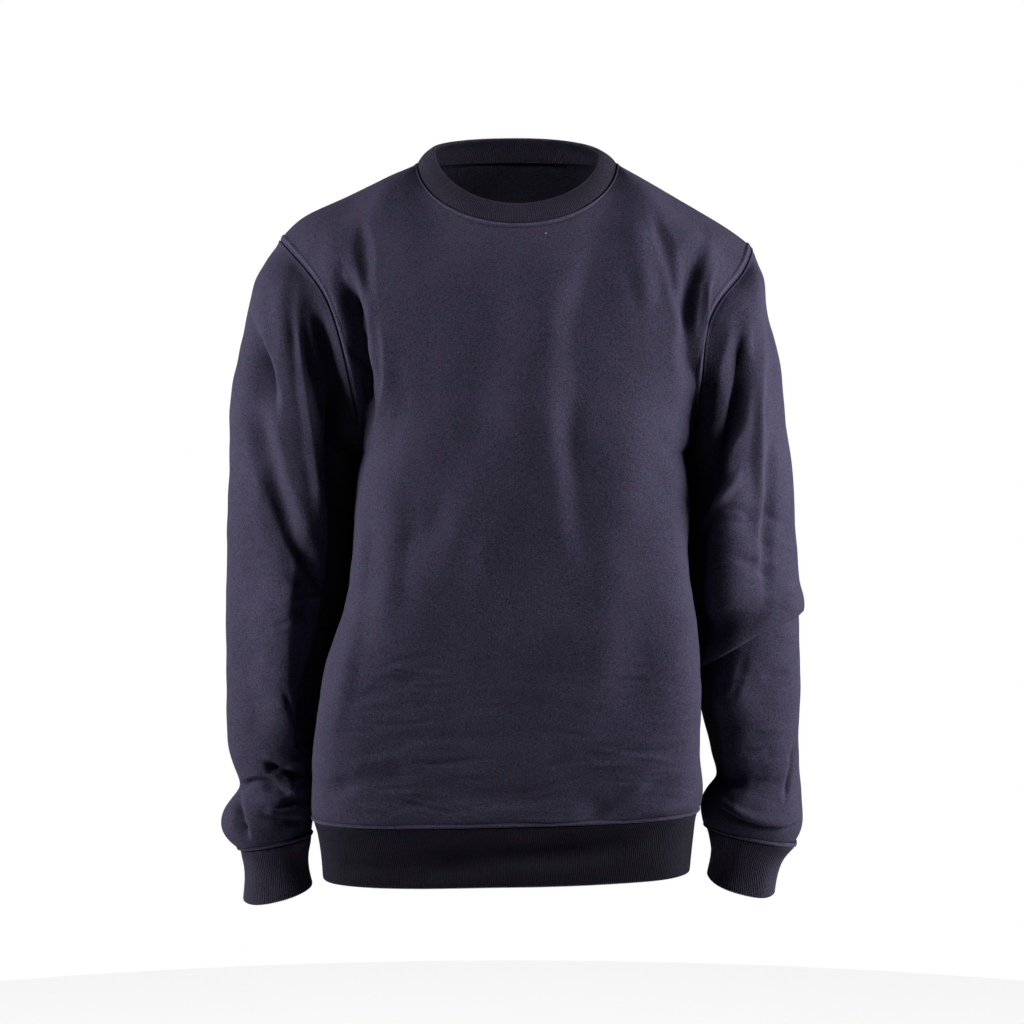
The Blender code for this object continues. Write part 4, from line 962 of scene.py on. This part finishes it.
for side in (RIGHT, LEFT):
    name = f"sleeve_{SIDE_NAMES[side]}"
    columns = int(SLEEVE_GIRTH / MESH_STEP)
    turn = np.arange(columns) / columns
    down = shares_along(0.0, 1.0, SLEEVE_LENGTH, True, True)
    grid = sleeve_grid(side, turn, down)[:, ::-side]
    below_armhole, above_cuff = from_edge(grid, "top"), from_edge(grid, "bottom")
    free = smooth_step(below_armhole / SLEEVE_HELD["top"]) * smooth_step(above_cuff / SLEEVE_HELD["bottom"])
    folds = folds_on(name, SLEEVE_FOLDS) + wrinkles_on(name, SLEEVE_WRINKLES)
    grid = folded(grid, True, free, folds, SLEEVE_CRUMPLE)
    grid = grid + lap_over(grid, outward(grid, closed=True), SLEEVE_LAPS[side]) * free[..., None]
    normals = outward(grid, closed=True)
    grid = sew_edge(grid, normals, below_armhole, armhole_way(grid[0], side)[None], *SLEEVE_HEAD_RIDGE, ())
    way = unit(grid[-1] - grid[-1].mean(axis=0))
    grid = sew_edge(
        grid, normals, above_cuff, way[None], COVERSTITCH_RIDGE, CUFF_RIDGE_HEIGHT, COVERSTITCH_DENTS)
    # Painted light on the cuff seam: painted highlight on its crest, painted shade at edge and threads.
    painted_light = seam_painted_light(above_cuff, COVERSTITCH_RIDGE, COVERSTITCH_DENTS)
    uv = np.broadcast_arrays(turn[None] * SLEEVE_GIRTH, -down[:, None] * SLEEVE_LENGTH)
    sleeve = cloth_object(name + "_cloth", grid, True, uv, painted_light, fleece)
    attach(sleeve, "root")
    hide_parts(name)
    sewn[name] = {"grid": grid, "normals": outward(grid, closed=True), "bottom": above_cuff}

# ================================================================ neckband
# A strip of 1x1 rib, folded double with its fold at the top, stretched a little and sewn round
# the neck. Behind it shows the inner face of its own back half.
COLLAR = NeckEdge(0.0830, (-0.068, -0.0440), (0.059, 0.0315), (0.008, 0.0165), (0.008, 0.0115))
NECK_ROWS = np.array([0.0, 0.02, 0.05, 0.09, 0.15, 0.24, 0.36, 0.50, 0.64, 0.78, 0.90, 1.0])
NECK_POINTS = 241                   # round each half, before its columns are laid evenly
NECK_RIBS = 290
NECK_PAINTED_LIGHT = 0.20                    # painted highlight: the band is painted paler than the other ribs
BAND_BOW_OUT = 0.0016
BAND_BOW_UP = 0.0012
BAND_THICKNESS = 0.0030
RIB_RELIEF = np.array([0.0, 0.80, 1.0, 0.80]) * 0.0009   # across one rib, groove first
RIB_START = 0.0025                  # distance from the seam at which the ribs have full relief
ROLL_STEPS = 5
SEAM_ALLOWANCE = (0.0025, 0.0050)   # the raw edges run on inside, past the seam


def round_body(front, back):
    """One closed ring of points from a front half and a back half that share their ends."""
    return np.concatenate([front[:-1], back[:0:-1]])


def neckband_grid(shares, up):
    """The band stands up from the neck seam and leans in, slightly bowed outwards."""
    seam, edge = (round_body(neckline(line, "front", shares), neckline(line, "back", shares))
                  for line in (NECK_SEAM, COLLAR))
    bowed = (seam + edge) / 2
    bowed += unit(bowed * (1, 1, 0)) * BAND_BOW_OUT + (0, 0, BAND_BOW_UP)
    return loft([seam, bowed, edge], [0.0, 0.5, 1.0], up)


def even_columns(grid, count):
    """A closed grid resampled to columns that lie evenly round its first row."""
    closed = np.concatenate([grid, grid[:, :1]], axis=1)
    places = length_along(closed[0])
    wanted = np.arange(count) / count * places[-1]
    return np.stack([[np.interp(wanted, places, row[:, k]) for row in closed] for k in range(3)], axis=-1)


def rib_band(grid):
    """Outer face, rolled edge and inner face of a folded strip, whose rows run from seam to fold."""
    normals = outward(grid, closed=True)
    radius = BAND_THICKNESS / 2
    below = unit(grid[-1] - grid[-2])
    heart = grid[-1] - normals[-1] * radius - below * radius
    turns = np.radians(np.linspace(0, 180, ROLL_STEPS + 2))[1:-1]
    ways = [unit(normals[-1] * np.cos(turn) + below * np.sin(turn)) for turn in turns]
    grid, normals, below_seam = grid[:-1], normals[:-1], from_edge(grid, "top")[:-1]
    turned_in = EDGE_TURN * (1 - below_seam / EDGE_TURN_REACH).clip(0, 1) ** 2
    outer = grid - normals * turned_in[..., None]
    inner = (grid - normals * BAND_THICKNESS)[::-1]
    past_seam = unit(grid[0] - grid[1])[None] * np.array(SEAM_ALLOWANCE)[:, None, None] + inner[-1]
    rows = np.concatenate([outer, [heart + way * radius for way in ways], inner, past_seam])
    ways = np.concatenate([normals, ways, -normals[::-1], [-normals[0]] * len(SEAM_ALLOWANCE)])
    relief = np.tile(RIB_RELIEF, grid.shape[1] // len(RIB_RELIEF)) - np.mean(RIB_RELIEF)
    free = np.ones(rows.shape[:2])
    free[:len(outer)] = smooth_step(below_seam / RIB_START)
    rows = rows + ways * (relief[None] * free)[..., None]
    rows[0] = outer[0]
    return rows


def rib_object(name, grid, painted_light):
    """The folded strip along the grid. Its u counts ribs, its v is in metres."""
    strip = rib_band(grid)
    ribs = np.arange(strip.shape[1])[None] / len(RIB_RELIEF)
    return cloth_object(name, strip, True, np.broadcast_arrays(ribs, -from_edge(strip, "top")), painted_light, rib)


# Painted shade in the groove between two ribs, and the slanted courses up their sides.
rib_groove_shade_and_courses, given, wanted = node_group(
    "rib_groove_shade_and_courses", {"Place": "Vector", "Course": 0.0010}, {"GrooveShade": "Float", "Height": "Float"})
place = split(rib_groove_shade_and_courses, given["Place"])
turned = math(rib_groove_shade_and_courses, "MULTIPLY", place["X"], FULL_TURN)
groove_shade = math(rib_groove_shade_and_courses, "MULTIPLY_ADD", math(rib_groove_shade_and_courses, "COSINE", turned), 0.5, 0.5)
join(rib_groove_shade_and_courses, math(rib_groove_shade_and_courses, "POWER", groove_shade, 1.6), wanted["GrooveShade"])
courses = math(rib_groove_shade_and_courses, "MULTIPLY", math(rib_groove_shade_and_courses, "DIVIDE", place["Y"], given["Course"]), FULL_TURN)
slant = math(rib_groove_shade_and_courses, "MULTIPLY", math(rib_groove_shade_and_courses, "SINE", turned), 1.4)
course = math(rib_groove_shade_and_courses, "SINE", math(rib_groove_shade_and_courses, "ADD", courses, slant))
join(rib_groove_shade_and_courses, math(rib_groove_shade_and_courses, "MULTIPLY_ADD", course, 0.5, 0.5), wanted["Height"])

RIB_DARK, RIB_PALE = (0.0150, 0.0129, 0.0219, 1), (0.0463, 0.0398, 0.0663, 1)
# painted shade: the grooves between ribs are painted towards this near-black
GROOVE_PAINTED_SHADE = (0.0020, 0.0018, 0.0030, 1)
rib, tree, surface = new_material("rib", {
    "Roughness": 0.90, "Specular IOR Level": 0.12,
    "Sheen Weight": 0.03, "Sheen Roughness": 0.55, "Sheen Tint": (0.60, 0.52, 0.82, 1)})
knit, nap, colour = over_cloth(tree, rib_groove_shade_and_courses, 0.0, RIB_DARK, RIB_PALE, 0.0, Course=0.0011)
# painted shade in the grooves
groove_painted_shade = math(tree, "MULTIPLY", knit["GrooveShade"], 0.85)
join(tree, blend(tree, groove_painted_shade, colour, GROOVE_PAINTED_SHADE), surface.inputs["Base Color"])
bumps(tree, surface, (knit["Height"], 0.5, 0.0003), (nap["Height"], 0.4, 0.0005))

grid = neckband_grid(np.linspace(-1, 1, NECK_POINTS), NECK_ROWS)[:, ::-1]
neckband = rib_object("neckband_rib", even_columns(grid, NECK_RIBS * len(RIB_RELIEF)), NECK_PAINTED_LIGHT)
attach(neckband, "root")
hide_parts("neckband")

# ================================================================ hem band
# A wide strip of the same rib, folded double and sewn round the bottom of both panels. It is
# shorter than they are, so that it draws the body in.
HEM_BAND = rings(
    (0, -649.5, -640.5, 201.5, 178.5, -120.5, 127, -22, 3),
    (0.45, -677, -669, 196, 174, -116.5, 124.5, -20, 2.9),
    (1, -709, -701.5, 193, 171, -110, 122, -20, 2.8),
)
HEM_ROWS = np.array([
    0.0, 0.010, 0.025, 0.045, 0.07, 0.11, 0.17, 0.25, 0.34, 0.44, 0.54, 0.64, 0.74, 0.83, 0.91, 0.965, 1.0])
HEM_POINTS = 361
HEM_RIBS = 524
HEM_PAINTED_SHADE = -0.38     # painted shade: the hem band's rib is painted darker
HEM_HELD = 0.012
HEM_CRUMPLE = ((0.070, 0.0007, 7),)
HEM_FOLDS = {
    ("hem_band", "front"): (
        (16, 24, -12, 0.1, -113, -692, -17, -678, 53, -672, 131, -655),
        (12, 12, -3, 0, -178, -685, -142, -686, -93, -683),
    ),
    ("hem_band", "back"): (
        (14, 14, -4, 0, -110, -672, -40, -680, 50, -676),
    ),
}
half = np.linspace(-1, 1, HEM_POINTS)
sections = [round_body(*(ring_section(row, panel, half) for panel in ("front", "back"))) for row in HEM_BAND]
grid = loft(sections, [row.down for row in HEM_BAND], HEM_ROWS)
grid = even_columns(grid, HEM_RIBS * len(RIB_RELIEF))
free = smooth_step(from_edge(grid, "top") / HEM_HELD)
grid = folded(grid, True, free, folds_on("hem_band", HEM_FOLDS), HEM_CRUMPLE)
hem_band = rib_object("hem_band_rib", grid, HEM_PAINTED_SHADE)
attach(hem_band, "root")
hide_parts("hem_band")

# ================================================================ cuffs
# Tubes of the same rib, folded double, that close on the wrists and hold up the slack of the
# sleeves. Their hands are gone, so both stand open below.
CUFF = {
    RIGHT: cuts(
        (0, 277.5, -685, 206.5, -671.5, -40, 34, 0),
        (0.3, 273.5, -700, 209.5, -686, -36.5, 29, -3, 1),
        (1, 274.5, -735, 205, -719, -38.5, 28, -3, 6),
    ),
    LEFT: cuts(
        (0, 279, -682, 190.5, -663, -44, 40, 0),
        (0.3, 266.5, -696, 193.5, -679, -38.5, 31, -3, 1),
        (1, 259, -728, 191.5, -712, -38.5, 28, -3, 6),
    ),
}
CUFF_ROWS = np.array([
    0.0, 0.012, 0.03, 0.06, 0.10, 0.16, 0.25, 0.36, 0.48, 0.60, 0.72, 0.83, 0.92, 0.97, 1.0])
CUFF_POINTS = 480
CUFF_RIBS = 110
# painted light: the cuffs are painted paler than the other ribs
CUFF_PAINTED_LIGHT = 0.70
CUFF_FACING_OUT = 0.001
CUFF_HELD = 0.010
CUFF_CRUMPLE = {RIGHT: ((0.045, 0.0009, 7),), LEFT: ((0.045, 0.0009, 9),)}

for side in (RIGHT, LEFT):
    name = f"cuff_{SIDE_NAMES[side]}"
    turn = np.arange(CUFF_POINTS) / CUFF_POINTS
    sections = [cut_section(row, side, turn, CUFF_FACING_OUT) for row in CUFF[side]]
    grid = loft(sections, [row.down for row in CUFF[side]], CUFF_ROWS)[:, ::-side]
    grid = even_columns(grid, CUFF_RIBS * len(RIB_RELIEF))
    free = smooth_step(from_edge(grid, "top") / CUFF_HELD)
    cuff = rib_object(name + "_rib", folded(grid, True, free, (), CUFF_CRUMPLE[side]), CUFF_PAINTED_LIGHT)
    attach(cuff, "root")
    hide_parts(name)

# ================================================================ stitching
# Overlocked edges are laid to one side and held by a twin needle: two rows of short stitches in
# thread of the cloth's own colour, which sink into the pile.
THREAD_RADIUS = 0.00024
THREAD_SIDES = 5
STITCH_LENGTH = 0.0021
STITCH_PITCH = 0.0027
STITCH_SHAPE = ((-0.5, -0.00022), (-0.28, 0.00008), (0.28, 0.00008), (0.5, -0.00022))   # along, up
COVERSTITCH_ROWS = (0.0010, COVERSTITCH_RIDGE - 0.0003)

thread, tree, surface = new_material(
    "thread", {"Base Color": (0.050, 0.044, 0.070, 1), "Roughness": 0.55, "Specular IOR Level": 0.4})


def line_at(piece, edge, distance):
    """Points and outward directions on the sewn cloth, this far from one of its edges."""
    found = [piece["grid"], piece["normals"], piece[edge]]
    if edge in ("first", "last"):
        found = [np.swapaxes(a, 0, 1) for a in found]
    if edge in ("bottom", "last"):
        found = [a[::-1] for a in found]
    grid, normals, reach = found
    return [np.array([[np.interp(distance, reach[:, c], a[:, c, k]) for k in range(3)]
                      for c in range(grid.shape[1])]) for a in (grid, normals)]


def sew(name, lines):
    """One mesh with a row of stitches along each line of (points, normals)."""
    along_stitch, lifts = np.array(STITCH_SHAPE).T
    turns = np.arange(THREAD_SIDES) / THREAD_SIDES * 2 * np.pi
    stitches = []
    for points, normals in lines:
        normals = unit(normals)
        lengths = length_along(points)
        count = int(lengths[-1] / STITCH_PITCH)
        for start in (np.arange(count) + 0.5) * lengths[-1] / count:
            at = start + along_stitch * STITCH_LENGTH
            middle = np.column_stack([np.interp(at, lengths, points[:, k]) for k in range(3)])
            up = unit(np.array([np.interp(start, lengths, normals[:, k]) for k in range(3)]))
            across = np.cross(unit(middle[-1] - middle[0]), up)
            stitches.append([centre + up * (lift + THREAD_RADIUS * np.cos(turn))
                             + across * THREAD_RADIUS * np.sin(turn)
                             for centre, lift in zip(middle, lifts) for turn in turns])
    side = np.arange(THREAD_SIDES)
    loops = np.arange(len(stitches) * len(STITCH_SHAPE)).reshape(len(stitches), -1)[:, :-1, None]
    a, b = (loops * THREAD_SIDES + corner % THREAD_SIDES for corner in (side, side + 1))
    faces = np.stack([a, b, b + THREAD_SIDES, a + THREAD_SIDES], axis=-1).reshape(-1, 4)
    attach(smooth_object(name, np.concatenate(stitches), faces, thread), "root")


neck_lines, hem_lines = [], []
armhole_lines = {RIGHT: [], LEFT: []}
for name in ("front", "back"):
    piece = sewn[name]
    on_neck, above_armpit = np.abs(piece["across"]) <= NECK_SHARE, piece["down"] <= ARMPIT_SHARE
    for distance in COVERSTITCH_ROWS:
        neck_lines.append([values[on_neck] for values in line_at(piece, "top", distance)])
        hem_lines.append(line_at(piece, "bottom", distance))
    for edge, column in (("first", 0), ("last", -1)):
        side = RIGHT if piece["grid"][0, column, 0] < 0 else LEFT
        for distance in ARMHOLE_DENTS:
            armhole_lines[side].append([values[above_armpit] for values in line_at(piece, edge, distance)])
sew("neck_stitches", neck_lines)
sew("hem_stitches", hem_lines)
for side in (RIGHT, LEFT):
    sew(f"armhole_stitches_{SIDE_NAMES[side]}", armhole_lines[side])
    piece = sewn[f"sleeve_{SIDE_NAMES[side]}"]
    tube = {key: np.concatenate([value, value[:, :1]], axis=1) for key, value in piece.items()}
    rows = [line_at(tube, "bottom", distance) for distance in COVERSTITCH_ROWS]
    sew(f"cuff_stitches_{SIDE_NAMES[side]}", rows)

# ================================================================ floor and light
# Nothing in the room but a pale floor far below, and daylight from large soft sources.
FLOOR_HEIGHT = -1.45
FLOOR_RADIUS = 3.0
BODY_MIDDLE = (0.0, 0.0, -0.27)
NECK_MIDDLE = (0.0, 0.0, 0.02)

# To the eye the floor is as bright as the room, but it lights nothing.
pale, tree, surface = new_material("pale_floor", {
    "Base Color": (0.80, 0.80, 0.80, 1), "Roughness": 0.8, "Emission Color": (0.86, 0.86, 0.86, 1)})
eye = tree.nodes.new("ShaderNodeLightPath").outputs["Is Camera Ray"]
join(tree, eye, surface.inputs["Emission Strength"])
bpy.ops.mesh.primitive_circle_add(
    vertices=96, radius=FLOOR_RADIUS, fill_type="NGON", location=(0, 0, FLOOR_HEIGHT))
floor = bpy.context.object
floor.name = "floor"
floor.data.materials.append(pale)

# A light stands that far from its aim; azimuth 0 is in front, plus to the garment's left.
Light = namedtuple("Light", "azimuth elevation distance aim size spread power")
LIGHTS = {
    "window_left": Light(80, 8, 1.8, BODY_MIDDLE, (1.0, 1.1), 105, 23.8),
    "window_right": Light(-77, 8, 1.8, BODY_MIDDLE, (1.0, 1.1), 105, 18.6),
    "neck_light": Light(0, 30, 1.3, NECK_MIDDLE, (0.20, 0.20), 18, 0.10),
    "rim_left": Light(115, 10, 2.4, BODY_MIDDLE, (0.8, 1.2), 180, 11),
    "rim_right": Light(-115, 10, 2.4, BODY_MIDDLE, (0.8, 1.2), 180, 7),
}
for name, light in LIGHTS.items():
    turn, rise = np.radians((light.azimuth, light.elevation))
    way = np.array([np.sin(turn) * np.cos(rise), -np.cos(turn) * np.cos(rise), np.sin(rise)])
    lamp = bpy.data.lights.new(name, "AREA")
    lamp.shape = "RECTANGLE"
    lamp.size, lamp.size_y = light.size
    lamp.spread = np.radians(light.spread)
    lamp.energy = light.power
    obj = bpy.data.objects.new(name, lamp)
    obj.location = np.array(light.aim) + way * light.distance
    obj.rotation_euler = Vector(-way).to_track_quat("-Z", "Y").to_euler()
    bpy.context.scene.collection.objects.link(obj)

# The room is white to the eye, and adds only a little light.
world = bpy.data.worlds.new("white room")
bpy.context.scene.world = world
world.use_nodes = True
tree = world.node_tree
tree.nodes.clear()
room = tree.nodes.new("ShaderNodeMixShader")
join(tree, tree.nodes.new("ShaderNodeLightPath").outputs["Is Camera Ray"], room.inputs[0])
for socket, colour, strength in ((1, (0.93, 0.95, 1.0, 1), 0.005), (2, (1, 1, 1, 1), 1.0)):
    node = tree.nodes.new("ShaderNodeBackground")
    join(tree, colour, node.inputs["Color"])
    join(tree, strength, node.inputs["Strength"])
    join(tree, node.outputs[0], room.inputs[socket])
join(tree, room.outputs[0], tree.nodes.new("ShaderNodeOutputWorld").inputs["Surface"])
bpy.context.scene.view_settings.view_transform = "Standard"
